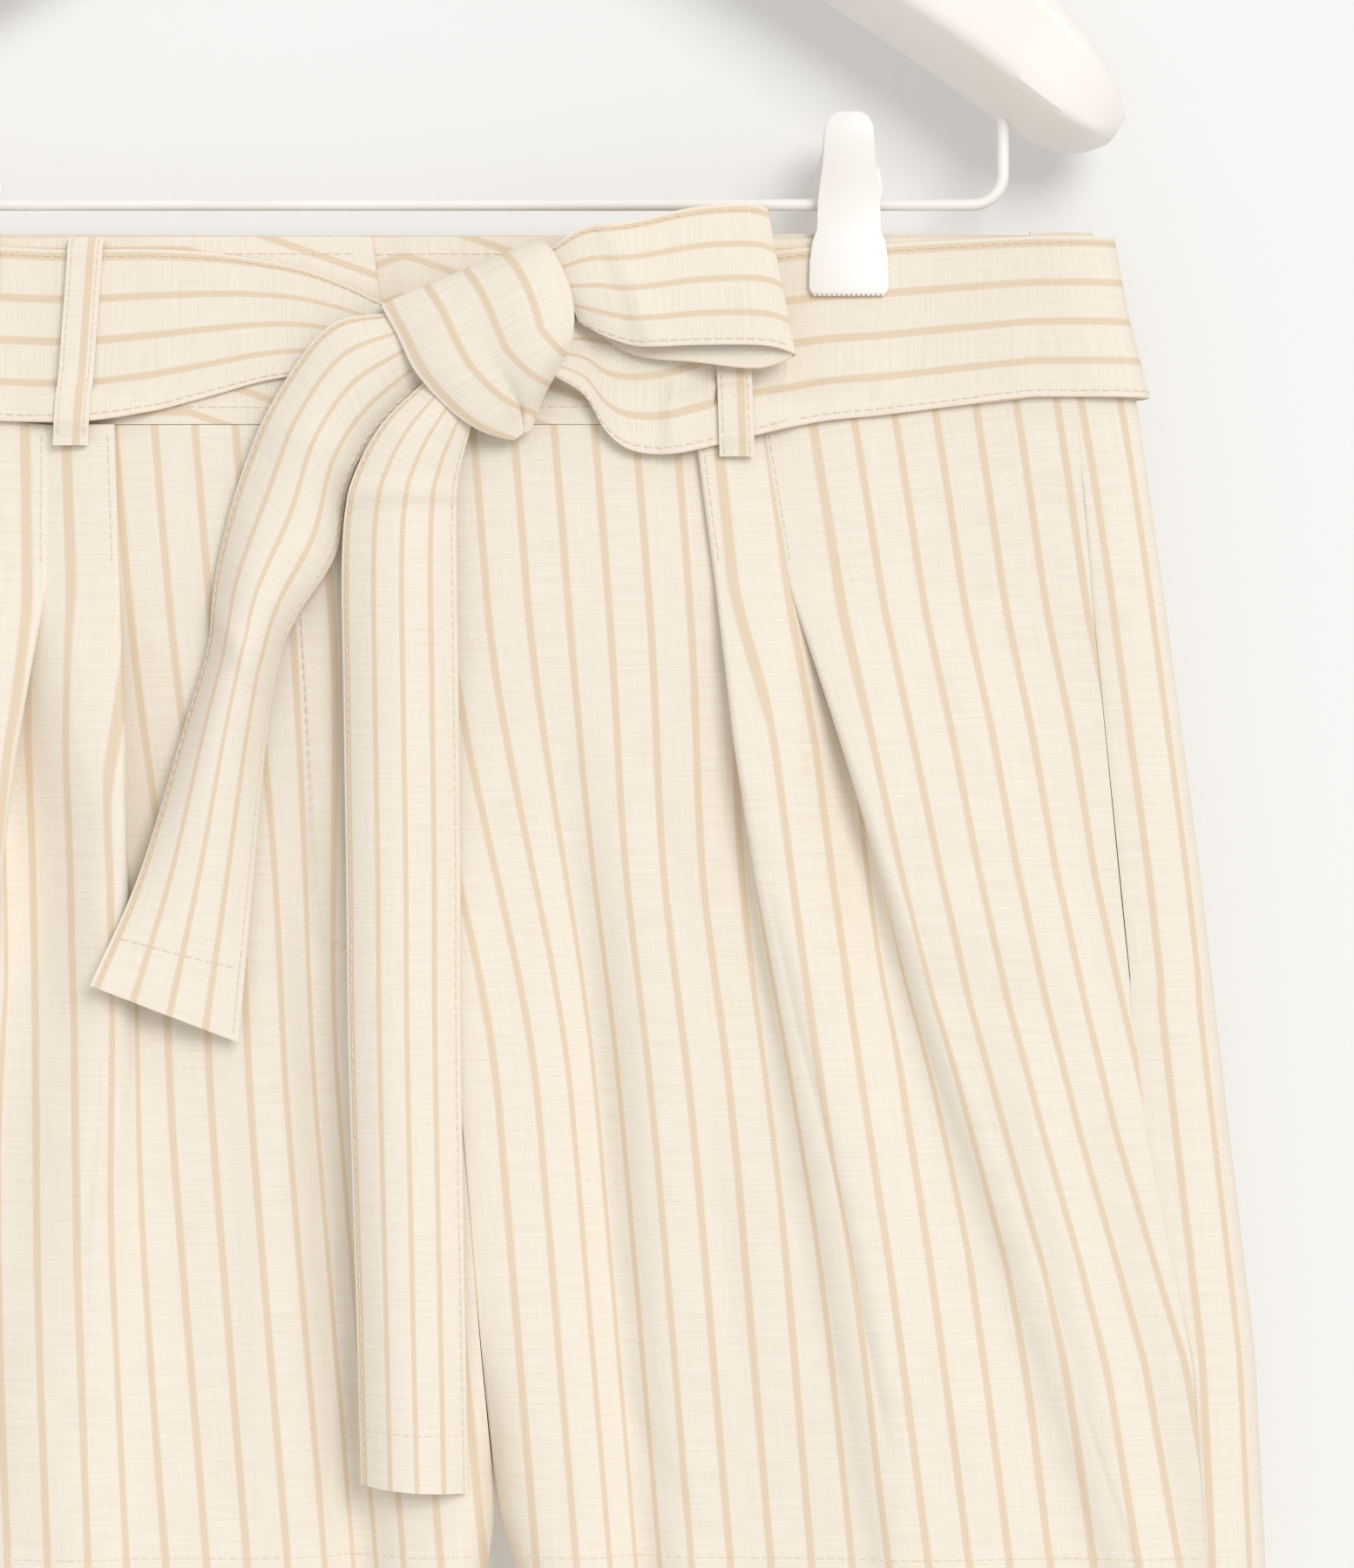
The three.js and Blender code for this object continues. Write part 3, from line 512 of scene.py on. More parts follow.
def arcLengths(line):
    points = np.array(line, float)
    return np.concatenate([[0], np.cumsum(np.linalg.norm(np.diff(points, axis=0), axis=1))])


stitchRuns = []


def stitch(path, pitch=3.0, length=2.2, radius=0.19):
    # path: points in millimetres on the cloth's outer face, in order; remembered and sewn at the end
    stitchRuns.append((np.array(path, float), pitch, length, radius))


# Legs.

stripes = {"left": 5.7, "ninth": 100.8, "thirteenth": 145.6, "centre": 7.7, "gathered": 14.0}
# where the ninth and thirteenth stripes run, and how much cloth lies inside the side seam
stripeRuns = table("z ninth thirteenth seam", [
    (-282, 88.5, 113, 218.1),
    (-333, 91, 117.1, 214.5),
    (-369, 94.5, 121.6, 210.6),
    (-405, 96.2, 126.4, 208.8),
    (-441, 98.2, 131.8, 204.5),
    (-477, 100.5, 139.1, 199.5),
    (-513, 103, 145.9, 195.7),
    (-549, 104.8, 150, 191.6),
    (-623.5, 108, 155, 183.5),
])


def clothAcross(section, places, z):
    # how far across the cut cloth each point of a front section lies: the flat stretches follow their
    # stripes, and each pleat takes up what is between them
    arc = arcLengths(section)
    ninth, thirteenth, seam = (tableAt(stripeRuns, key, z) for key in ("ninth", "thirteenth", "seam"))
    slack = stripes["gathered"] * float(smoothStep(-z, -trough["from"], -trough["to"]))
    spread = 3 * math.exp(-((z + 405) / 45) ** 2) / 75
    across = []
    for (s, y), place in zip(section, places):
        if place == 0:
            taken = 0.5 * math.erfc((s - trough["s"]) / 12)  # the trough beside the centre gathers cloth
            across.append(s - stripes["centre"] - slack * taken + spread * s)
        elif place == 2:
            across.append(stripes["ninth"] + s - ninth)
        elif place == 4 and s > thirteenth:
            share = (s - thirteenth) / (seamAt(z) - thirteenth)
            across.append(stripes["thirteenth"] + (seam - stripes["thirteenth"]) * share)
        elif place == 4:
            across.append(stripes["thirteenth"] + s - thirteenth)
        else:
            across.append(None)
    known = [i for i, value in enumerate(across) if value is not None]
    return np.interp(arc, arc[known], [across[i] for i in known])


def seamRise(x, z):
    # the waist seam climbs towards the sides, where the sash covers it
    rise = 10.5 * float(smoothStep(abs(x), 95, 175))
    return rise * float(smoothStep(z, -345, waist["seam"]))


frontHeights = [waist["seam"] - 0.15, *np.arange(-286, -570, -4.0), *np.arange(-570, -624, -3.0), legs["hem"]]
pocket = {"bottom": -436, "gap": 0.35, "step": 0.35}  # the in-seam opening ends there and the seam goes on
backCloth = {"sideSteps": 24, "steps": 40, "seamTaken": 13.0}
panels = {}

for sideName, sign in (("right", 1), ("left", -1)):
    grid, maps = [], []
    for z in frontHeights:
        places = []
        section = frontSection(z, 1 if sign > 0 else 2, places)
        # the hem's second layer
        turnedUp = 0.5 * float(smoothStep(-z, -legs["hemEdge"], 2.5 - legs["hemEdge"]))
        grid.append([(centreAt(z) + sign * s, y - turnedUp, z + seamRise(s, z)) for s, y in section])
        maps.append([(a + (stripes["left"] if sign < 0 else 0), z) for a in clothAcross(section, places, z)])
    panels[sideName] = grid
    piece = clothPiece(f"front{sideName.title()}", grid, maps, legLinen, legs["wall"], f"front_{sideName}",
                       flip=sign < 0)

    grid, maps = [], []
    for z in frontHeights[::2] + [legs["hem"]]:
        if grid and grid[-1][0][2] == z:
            continue
        seamIn = tableAt(outline, "seamIn", z)
        flat = seamAt(z) + seamIn
        inSeam = [flat - seamIn * (1 - k / 4) for k in range(4)]
        line = [(s, -halfDepth(s, z)) for s in inSeam]
        line += [behindSide(k / backCloth["sideSteps"], z) for k in range(backCloth["sideSteps"] + 1)]
        line += [behindSide(1 + k / backCloth["steps"], z) for k in range(1, backCloth["steps"] + 1)]
        inSlit = z > pocket["bottom"]
        line[0] = (line[0][0] + (pocket["gap"] if inSlit else -pocket["gap"]), line[0][1] + pocket["step"])
        arc = arcLengths(line)
        row = []
        for (s, y), a in zip(line, arc):
            ripple = 0.8 * math.sin(s / 13 + z / 90) * math.sin(z / 60 + sign)
            ripple = ripple * float(smoothStep(-z, 290, 380)) + handCreases(backCreases, s + 4 * sign, z)
            row.append((centreAt(z) + sign * s, y + ripple * float(smoothStep(y, 2, 5)), z + seamRise(s, z)))
        grid.append(row)
        maps.append([(a - seamIn - backCloth["seamTaken"], z) for a in arc])
    piece = clothPiece(f"back{sideName.title()}", grid, maps, legLinen, legs["wall"], f"back_{sideName}",
                       flip=sign < 0)
print("legs made")


# Waistband.

band = {"overlapEnd": -9.0, "underlap": 40.0, "underBy": 2.2, "frontTop": -229.5, "lapSlope": 0.12,
        "wall": 1.7, "rows": 12, "columns": 90, "bias": 0.35, "biasTo": 60.0}


def bandRise(x, z):
    share = (band["frontTop"] - z) / (band["frontTop"] - waist["seam"])
    return seamRise(x, waist["seam"]) * min(max(share, 0), 1)


def bandGrid(sign, start, deeper):
    grid, maps = [], []
    for z in np.linspace(band["frontTop"], waist["seam"], band["rows"]):
        stop = tableAt(outline, "side", z) - sideRound
        line, texture = [], []
        first = start + (band["lapSlope"] * (z - band["frontTop"]) if sign < 0 else 0)
        for s in np.linspace(first, stop, band["columns"]):
            line.append((sign * s, -halfDepth(abs(s), z) + deeper(s), z + bandRise(s, z)))
            # cut on the cross: the stripes run along the band, a little slanted at the lap
            slant = band["bias"] * max(band["biasTo"] - abs(s), 0) * (1 if sign < 0 else -1)
            texture.append((z - 2 + slant, sign * s))
        grid.append(line)
        maps.append(texture)
    return grid, maps


leftBand, maps = bandGrid(-1, -band["overlapEnd"], lambda s: 0)
piece = clothPiece("waistbandFrontLeft", leftBand, maps, sashLinen, band["wall"], "waistband_front_left",
                   flip=True)
rightBand, maps = bandGrid(1, band["overlapEnd"] - band["underlap"],
                           lambda s: band["underBy"] * (1 - float(smoothStep(s, -9, 3))))
piece = clothPiece("waistbandFrontRight", rightBand, maps, sashLinen, band["wall"], "waistband_front_right")

grid, maps = [], []
for z in np.linspace(waist["top"], waist["seam"], band["rows"]):
    ring = [behindSide(k / 20, z) for k in range(21)] + [behindSide(1 + k / 50, z) for k in range(1, 51)]
    line = [(-s, y, z) for s, y in ring][:-1] + [(0.0, ring[-1][1], z)] + [(s, y, z) for s, y in ring[-2::-1]]
    grid.append([(x, y, z + bandRise(x, z)) for x, y, _ in line])
    maps.append([(z - 2, a) for a in arcLengths([p[:2] for p in line])])
backBand = grid
piece = clothPiece("waistbandBack", grid, maps, sashLinen, band["wall"], "waistband_back")
print("waistband made")


# Sash.

sash = {"wall": 1.1, "width": 46.0, "onBand": 0.95, "sideOut": 5.0, "sideEnd": 0.72, "sideSteps": 18,
        "stripeFirst": 2.0, "columns": 14, "backTop": -230.5, "backWidth": 45.0, "backColumns": 10}
stitchLift = 0.75  # how far a row of stitches lies off the middle of the sash's and loops' cloth

rightStretch = table("x top bottom off", [
    (42, -255, -269, 8.3),
    (50, -252, -274, 3.6),
    (56, -249, -284, 3),
    (63, -246, -289, 2.4),
    (73, -242, -290, 1.4),
    (82, -237, -288.5, 0.4),
    (92, -234.5, -286, 0),
    (114, -232, -281, 0),
    (132, -231.3, -279, 0),
    (152, -230.3, -276.5, 0.1),
    (174, -229.5, -274, 0.6),
])
leftStretch = table("x top bottom off", [
    (1.5, -250, -266, 3.2),
    (8, -247, -267, 1.9),
    (16, -243, -267.5, 0.9),
    (28, -238.5, -268, 0.4),
    (40, -236, -270, 0.2),
    (54, -234, -274, 0),
    (72, -233, -278.5, 0),
    (91, -233, -281, 0),
    (114, -232, -280.5, 0),
    (132, -231.3, -279, 0),
    (152, -230.3, -276.5, 0.1),
    (174, -229.5, -274, 0.6),
])


def acrossSash(i, columns):
    # five stripes run along the sash, the first close to its upper edge
    return sash["width"] * i / columns - sash["stripeFirst"]


def waistStretch(rows, sign, columns):
    grid, maps, along = [], [], 0.0
    before = None
    for row in splineRows(rows, 5):
        line = []
        for i in range(columns + 1):
            t = i / columns
            z = row["top"] + (row["bottom"] - row["top"]) * t
            x = sign * row["x"]
            puff = 0.35 * math.sin(row["x"] / 11 + 2 * t + sign) * math.sin(math.pi * t)
            line.append((x, coverAt(x, z) - sash["onBand"] - row["off"] - max(puff, 0), z))
        if before:
            along += math.dist(before, line[columns // 2])
        before = line[columns // 2]
        grid.append(line)
        maps.append([(acrossSash(i, columns), along) for i in range(columns + 1)])
    top, bottom = rows[-1]["top"], rows[-1]["bottom"]
    halfBand = waist["bandWall"] / 2
    for k in range(1, sash["sideSteps"] + 1):
        f = sash["sideEnd"] * k / sash["sideSteps"]
        wide = halfBand + sash["onBand"] + 0.2 + (sash["sideOut"] - halfBand) * math.sin(f * math.pi)
        line = []
        for i in range(columns + 1):
            z = top + (bottom - top) * i / columns
            s, y = behindSide(f, z, wide)
            line.append((sign * s, y, z))
        along += math.dist(before, line[columns // 2])
        before = line[columns // 2]
        grid.append(line)
        maps.append([(acrossSash(i, columns), along) for i in range(columns + 1)])
    return grid, maps


def edgeStitches(grid, columns, inset, face):
    # a row of stitches beside each long edge of a ribbon; face: how far off its middle, forward or back
    low = int(inset)
    for a, b, t in ((low, low + 1, inset - low), (columns - low, columns - low - 1, inset - low)):
        line = [np.array(row[a]) + (np.array(row[b]) - np.array(row[a])) * t for row in grid]
        path, before = [], np.array([0.0, -1.0 if face > 0 else 1.0, 0.0])
        for j, point in enumerate(line):
            onward = line[min(j + 1, len(line) - 1)] - line[max(j - 1, 0)]
            across = np.array(grid[j][b]) - np.array(grid[j][a])
            normal = np.cross(onward, across)
            normal /= max(np.linalg.norm(normal), 1e-9)
            if normal @ before < 0:
                normal = -normal
            before = normal
            path.append(point + normal * abs(face))
        stitch(path)


sashRight, maps = waistStretch(rightStretch, 1, sash["columns"])
piece = clothPiece("sashRight", sashRight, maps, sashLinen, sash["wall"], "sash_right", flip=True)
sashLeft, maps = waistStretch(leftStretch, -1, sash["columns"])
piece = clothPiece("sashLeft", sashLeft, maps, sashLinen, sash["wall"], "sash_left")
edgeStitches(sashRight, sash["columns"], 0.55, stitchLift)
edgeStitches(sashLeft, sash["columns"], 0.55, stitchLift)

grid, maps = [], []
for x in np.linspace(-180, 180, 121):
    line = []
    for i in range(sash["backColumns"] + 1):
        z = sash["backTop"] - sash["backWidth"] * i / sash["backColumns"]
        line.append((x, halfDepth(abs(x), z) + waist["bandWall"] / 2 + sash["onBand"], z))
    grid.append(line)
    maps.append([(acrossSash(i, sash["backColumns"]), x) for i in range(sash["backColumns"] + 1)])
piece = clothPiece("sashBack", grid, maps, sashLinen, sash["wall"], "sash_back")
edgeStitches(grid, sash["backColumns"], 0.4, -stitchLift)


def ribbon(rows, perRow, columns, fold, deepen, gathered):
    grid, maps, along = [], [], 0.0
    before = None
    smooth = splineRows(rows, perRow)
    for j, row in enumerate(smooth):
        line = []
        for i in range(columns + 1):
            t = i / columns
            a = Vector((row["ax"], row["ay"], row["az"]))
            b = Vector((row["bx"], row["by"], row["bz"]))
            point = a.lerp(b, t)
            point.y -= row["bulge"] * deepen * 4 * t * (1 - t) + fold(j / (len(smooth) - 1), t)
            line.append(tuple(point))
        middle = line[columns // 2]
        if before:
            along += math.dist(before, middle)
        before = middle
        grid.append(line)
        # gathered cloth squeezes all its stripes into the width; a wrap tucks some of them out of sight
        share = 1 if gathered else min(arcLengths(line)[-1] / sash["width"], 1)
        maps.append([(acrossSash(i, columns) * share, along) for i in range(columns + 1)])
    return grid, maps


knot = table("ax az ay bx bz by bulge", [
    (-1.5, -251, -13.2, 36.5, -235, -11.5, 0.6),
    (-5.5, -249.5, -14.5, 37.7, -231.7, -16, 1.5),
    (-1, -258, -18, 42, -236, -21, 3),
    (4, -268, -19.5, 46.5, -247, -22, 4),
    (12, -277, -19, 46.5, -258, -21, 4),
    (20, -283, -17, 43, -266, -18.5, 3),
    (27, -285.5, -14, 38.5, -274, -15, 1.5),
    (30.5, -286, -12.8, 35, -283, -13, 0.4),
])
bow = table("ax az ay bx bz by bulge", [
    (41, -234, -17.5, 48.5, -254, -17.5, 2),
    (50, -228.5, -18, 57, -258.5, -18.5, 2),
    (61, -227, -17.5, 66.5, -261, -18.5, 2),
    (80, -222.6, -16.5, 81, -260.5, -17.5, 1.5),
    (94, -221.4, -15, 99, -260.5, -16.5, 1),
    (99.5, -222.5, -13.5, 107, -262.5, -14.5, 0.3),
    (98.5, -223, -12.2, 106, -264, -13, 0),
    (92, -223.5, -12.2, 97, -266.5, -13, 0),
    (78, -226, -12.4, 80, -264.8, -13.6, 0),
    (62, -231, -12.6, 64, -263, -13.8, 0),
    (50, -237, -13, 52, -256, -14, 0),
])
leftTail = table("ax az ay bx bz by bulge", [
    (-3, -251.5, -14, 7, -269, -14.5, 1),
    (-20, -255, -13.5, -8, -285, -13, 2),
    (-34, -273, -12, -15.6, -299, -12, 3),
    (-44, -294.6, -11.5, -19, -318, -12, 3.5),
    (-51, -321, -12, -29, -334, -13, 5),
    (-53.5, -343, -12.5, -34, -346, -13.5, 5.5),
    (-59.5, -364, -13.5, -38, -369, -14, 5),
    (-71.5, -405, -18, -41.5, -408, -15, 3),
    (-84.7, -436, -26, -45, -452, -16.5, 1),
])
rightTail = table("ax az ay bx bz by bulge", [
    (7, -270, -17.2, 19, -281, -15.4, 1),
    (-5.5, -282.6, -18, 15.4, -294, -13.5, 3),
    (-13.9, -299, -18.5, 14.4, -304, -12, 4),
    (-16.3, -318.6, -18, 14.4, -321, -11.8, 5),
    (-15.8, -357, -17.5, 14.9, -357, -12.4, 6),
    (-15, -405, -17.5, 15.4, -405, -13, 6),
    (-14.4, -453, -18, 15.6, -453, -14, 6),
    (-12.2, -525, -18.5, 16.8, -525, -15, 6),
    (-10.8, -573, -19, 17.8, -576, -15.5, 6),
])


def knotFolds(v, t):
    # gathers that run down to where the wrap tucks in
    gather = 1.5 * math.sin(v * math.pi) * math.sin(2.6 * math.pi * t + 0.6 + 1.2 * v) * (0.3 + v)
    tuck = -1.8 * math.exp(-((t - 0.30 - 0.25 * v) / 0.05) ** 2) * smoothStep(v, 0.35, 0.8)
    return gather + tuck


def bowFolds(v, t):
    front = 1 if v < 0.5 else 0
    crease = 1.6 * math.exp(-((v - 0.16 - 0.06 * t) / 0.03) ** 2)
    return front * (crease + 1.1 * math.sin(4 * t + 11 * v)) * math.sin(math.pi * min(v * 2, 1))


def leftTailFolds(v, t):
    crumple = 1.8 * math.exp(-((v - 0.56 - 0.12 * t) / 0.03) ** 2)
    second = 1.3 * math.exp(-((v - 0.3 + 0.1 * t) / 0.035) ** 2)
    return crumple + second + 0.7 * math.sin(9 * v + 4 * t)


def rightTailFolds(v, t):
    crumple = 2.0 * math.exp(-((v - 0.27 + 0.05 * t) / 0.022) ** 2)
    hang = 0.8 * math.sin(13 * v + 2.5 * t) + 0.5 * math.sin(5 * t - 6 * v)
    return crumple * smoothStep(v, 0.05, 0.15) + hang


# deepen multiplies the bulge of each row of a ribbon's table
ribbons = table("name node rows perRow columns fold deepen flat held rests", [
    ("sashKnot", "sash_knot", knot, 8, 28, knotFolds, 1.2, (0.046, 0.053), "gathered", "sash_tail_right"),
    ("sashBow", "sash_bow", bow, 7, 20, bowFolds, 1.3, (0.046, 0.115), "folded", "sash_knot"),
    ("sashTailLeft", "sash_tail_left", leftTail, 9, 20, leftTailFolds, 2.15, (0.046, 0.203), "hung",
     "sash_knot"),
    ("sashTailRight", "sash_tail_right", rightTail, 12, 20, rightTailFolds, 1.4, (0.046, 0.303), "hung",
     "sash_knot"),
])
for item in ribbons:
    grid, maps = ribbon(item["rows"], item["perRow"], item["columns"], item["fold"], item["deepen"],
                        item["name"] != "sashKnot")
    piece = clothPiece(item["name"], grid, maps, sashLinen, sash["wall"], item["node"])
    count = len(grid) // 2 + 2 if item["name"] == "sashBow" else len(grid)  # the bow's back half is hidden
    edgeStitches(grid[:count], item["columns"], 0.045 * item["columns"], stitchLift)
    if "Tail" in item["name"]:
        stitch([np.array(p) + np.array([0, -stitchLift, 0]) for p in grid[-5][1:-1]])
print("sash made")


# Belt loops.

loops = table("name node topX bottomX top bottom sashTop sashBottom", [
    ("beltLoopFrontLeft", "belt_loop_front_left", -88, -92, -229.8, -287.5, -233, -281),
    ("beltLoopFrontRight", "belt_loop_front_right", 90, 92, -229.8, -290.5, -234.5, -286),
    ("beltLoopBackLeft", "belt_loop_back_left", -98, -98, -229, -284, -230.5, -275.5),
    ("beltLoopBackCentre", "belt_loop_back_centre", 0, 0, -229, -284, -230.5, -275.5),
    ("beltLoopBackRight", "belt_loop_back_right", 98, 98, -229, -284, -230.5, -275.5),
])
loopCloth = {"width": 9.6, "wall": 1.2, "onCloth": 0.9, "overBackSash": 1.8, "crown": 0.25, "rows": 40,
             "columns": 6}


def overSash(stretch, x, z, reach=9):
    front = 0
    for line in stretch:
        if abs(line[0][0] - x) > reach:
            continue
        share = min(max((line[0][2] - z) / (line[0][2] - line[-1][2]), 0), 1) * (len(line) - 1)
        i = min(int(share), len(line) - 2)
        front = min(front, line[i][1] + (line[i + 1][1] - line[i][1]) * (share - i))
    return front - sash["wall"] / 2


for loop in loops:
    back = loop["node"].startswith("belt_loop_back")
    outwards = 1 if back else -1
    top, bottom = loop["top"], loop["bottom"]
    heights = np.linspace(top, bottom, loopCloth["rows"])
    middles = [loop["topX"] + (loop["bottomX"] - loop["topX"]) * (top - z) / (top - bottom) for z in heights]
    ys = []
    for x, z in zip(middles, heights):
        if back:
            half = waist["bandWall"] / 2 if z > waist["seam"] - 3 else legs["wall"] / 2
            y = halfDepth(abs(x - centreAt(z)), z) + half + 0.25 + loopCloth["onCloth"]
        else:
            y = coverAt(x, z) - loopCloth["onCloth"]
        if loop["sashTop"] + 1.5 > z > loop["sashBottom"] - 1:
            if back:
                y += loopCloth["overBackSash"]
            else:
                y = min(y, overSash(sashRight if x > 0 else sashLeft, x, z) - loopCloth["onCloth"])
        ys.append(y)
    smoothed = np.convolve(np.pad(ys, 2, mode="edge"), np.ones(5) / 5, "valid")
    outer = np.maximum(smoothed, ys) if back else np.minimum(smoothed, ys)
    shares = [i / loopCloth["columns"] for i in range(loopCloth["columns"] + 1)]
    wide, crown = loopCloth["width"], outwards * loopCloth["crown"]
    grid = [[(x + (t - 0.5) * wide, y + crown * math.sin(math.pi * t), z) for t in shares]
            for x, y, z in zip(middles, outer, heights)]
    maps = [[(wide * (t - 0.66), z) for t in shares] for z in heights]
    piece = clothPiece(loop["name"], grid, maps, legLinen, loopCloth["wall"], loop["node"], flip=back)
    edgeStitches(grid, loopCloth["columns"], 0.8, -outwards * stitchLift)
    for rise in (1.2, 2.4):  # the bar tack at the lower end
        lift = np.array([0, outwards * stitchLift, rise])
        stitch([np.array(p) + lift for p in grid[-2]], pitch=1.0, length=0.9)
print("belt loops made")


# Rows of stitches on legs and waistband.

def onFront(x, z, lift=0.12):
    return (x, skinAt(x, z) - lift, z)


for sideName, sign in (("right", 1), ("left", -1)):
    grid = panels[sideName]
    row = min(grid, key=lambda line: abs(line[0][2] - legs["hemStitch"]))
    stitch([(x, y - legs["wall"] / 2 - 0.1, z) for x, y, z in row[2:-2]])
    for rows in (innerPleat, outerPleat):
        stitch([onFront(centreAt(z) + sign * (tableAt(rows, "edge", z) + 1.4), z)
                for z in np.arange(-284, -323, -2.0)])
    frontBand = rightBand if sign > 0 else leftBand
    for row in (frontBand[1], frontBand[-2]):
        stitch([(x, y - waist["bandWall"] / 2 - 0.05, z) for x, y, z in row[3:-1]])
    z = legs["hemStitch"]
    behind = [behindSide(1 + k / 40, z) for k in range(1, 40)]
    stitch([(centreAt(z) + sign * s, y + legs["wall"] / 2 + 0.1, z) for s, y in behind])
for row in (backBand[1], backBand[-2]):
    stitch([(x, y + waist["bandWall"] / 2 + 0.05, z) for x, y, z in row if y > 0])
flyStitch = table("x z", [
    (-31.8, -284),
    (-28.3, -338.5),
    (-25.6, -380),
    (-23.3, -416.3),
    (-20, -423),
    (-15.1, -426.4),
    (-8, -429),
])
stitch([onFront(row["x"], row["z"]) for row in splineRows(flyStitch, 8)])


def sewStitches():
    # every stitch is a small spindle of thread, half sunk in the cloth
    rings, sides = [(-0.5, 0.45), (-0.25, 1.0), (0.25, 1.0), (0.5, 0.45)], 6
    verts, faces = [], []
    for points, pitch, length, radius in stitchRuns:
        arc = arcLengths(points)
        for start in np.arange(pitch / 2, arc[-1] - pitch / 2, pitch):
            ends = [np.array([np.interp(start + d, arc, points[:, c]) for c in range(3)])
                    for d in (-length / 2, length / 2)]
            middle, along = (ends[0] + ends[1]) / 2, ends[1] - ends[0]
            size = np.linalg.norm(along)
            if size < 0.5:
                continue
            along /= size
            side = np.cross(along, (0, 1, 0) if abs(along[1]) < 0.8 else (1, 0, 0))
            side /= np.linalg.norm(side)
            up = np.cross(side, along)
            first = len(verts)
            for place, wide in rings:
                for k in range(sides):
                    a = 2 * math.pi * k / sides
                    around = side * math.cos(a) + up * math.sin(a)
                    verts.append(tuple((middle + along * place * size + radius * wide * around) * mm))
            for ring in range(len(rings) - 1):
                for k in range(sides):
                    a, b = first + ring * sides + k, first + ring * sides + (k + 1) % sides
                    faces.append((a, b, b + sides, a + sides))
            faces.append(tuple(first + k for k in range(sides))[::-1])
            last = first + (len(rings) - 1) * sides
            faces.append(tuple(last + k for k in range(sides)))
    piece = pieceFrom("stitches", verts, faces, thread)
    turnOutwards(piece)
    bpy.ops.object.shade_smooth()
    bindPiece(piece, [])
    return len(faces)


print("stitches sewn,", sewStitches(), "faces")


# Hanger: arms, hook and bar.

arm = {"slope": 32.7, "peak": -76.0, "tip": 199.0, "peakRound": 26.0, "shoulderRound": 50.0,
       "undersideRound": 24.0, "droop": 11.0, "neckDepth": 20.0, "tipDepth": 42.0, "tipInset": 0.8,
       "ridges": (0, 1, 3), "ridgeCrease": 0.75,
       "stations": [14, 30, 55, 85, 115, 145, 166, 178, 187, 193, 196.5, 198.4]}
armSection = [(-0.5, 9), (-0.5, -13), (-0.16, -21.5), (0.14, -23), (0.42, -17),
              (0.5, -6), (0.46, 8), (0.28, 14.5), (-0.22, 15.5), (-0.42, 13.5)]  # depth share, height


def armRing(x):
    # one section across the arm, by the same rules as the arm's own form
    root = math.hypot(x, arm["peakRound"])
    rounds = arm["shoulderRound"], arm["undersideRound"]
    near = [min(max((x - (arm["tip"] - size)) / size, 0), 1) for size in rounds]
    left = [max(math.sqrt(1 - n * n), 0.2) for n in near]
    depth = arm["neckDepth"] + (arm["tipDepth"] - arm["neckDepth"]) * x / arm["tip"]
    depth *= 0.1 + 0.9 * left[1]
    steep = math.radians(arm["slope"])
    slope = x / root * steep
    z = arm["peak"] - (root - arm["peakRound"]) * math.tan(steep) - arm["droop"] * near[0] ** 2
    ring = []
    for deep, up in armSection:
        height = up * (left[0] if up > 0 else left[1])
        ring.append(Vector((x + height * math.sin(slope), deep * depth, z + height * math.cos(slope))) * mm)
    return ring


deselectAll()
bpy.ops.mesh.primitive_circle_add(vertices=len(armSection), radius=1)
arms = bpy.context.object
arms.name = "hangerArms"
for vertex, place in zip(arms.data.vertices, armRing(0)):
    vertex.co = place
for x in arm["stations"]:
    setMode("EDIT")
    extrude(1, 0, 0)
    setMode("OBJECT")
    for vertex, place in zip([v for v in arms.data.vertices if v.select], armRing(x)):
        vertex.co = place
setMode("EDIT")
bpy.ops.mesh.edge_face_add()
bpy.ops.mesh.inset(thickness=arm["tipInset"] * mm)
bpy.ops.mesh.select_all(action="DESELECT")
bpy.ops.mesh.select_mode(type="EDGE")
setMode("OBJECT")
corners = len(armSection)
for edge in arms.data.edges:
    a, b = sorted(edge.vertices)
    onArm = b < corners * (len(arm["stations"]) + 1)
    edge.select = onArm and b - a == corners and a % corners in arm["ridges"]
setMode("EDIT")
bpy.ops.transform.edge_crease(value=arm["ridgeCrease"])
setMode("OBJECT")
mirror = arms.modifiers.new("otherArm", "MIRROR")
mirror.use_axis = (True, False, False)
rounding = arms.modifiers.new("rounding", "SUBSURF")
rounding.levels = rounding.render_levels = 3


def finishRigid(piece, material, nodes, angle=40):
    applyModifiers(piece)
    placeInMesh(piece)
    turnOutwards(piece)
    piece.data.materials.clear()
    piece.data.materials.append(material)
    bpy.ops.object.shade_smooth_by_angle(angle=math.radians(angle))
    bindPiece(piece, nodes)


finishRigid(arms, hangerPaint, ["hanger_arms"])

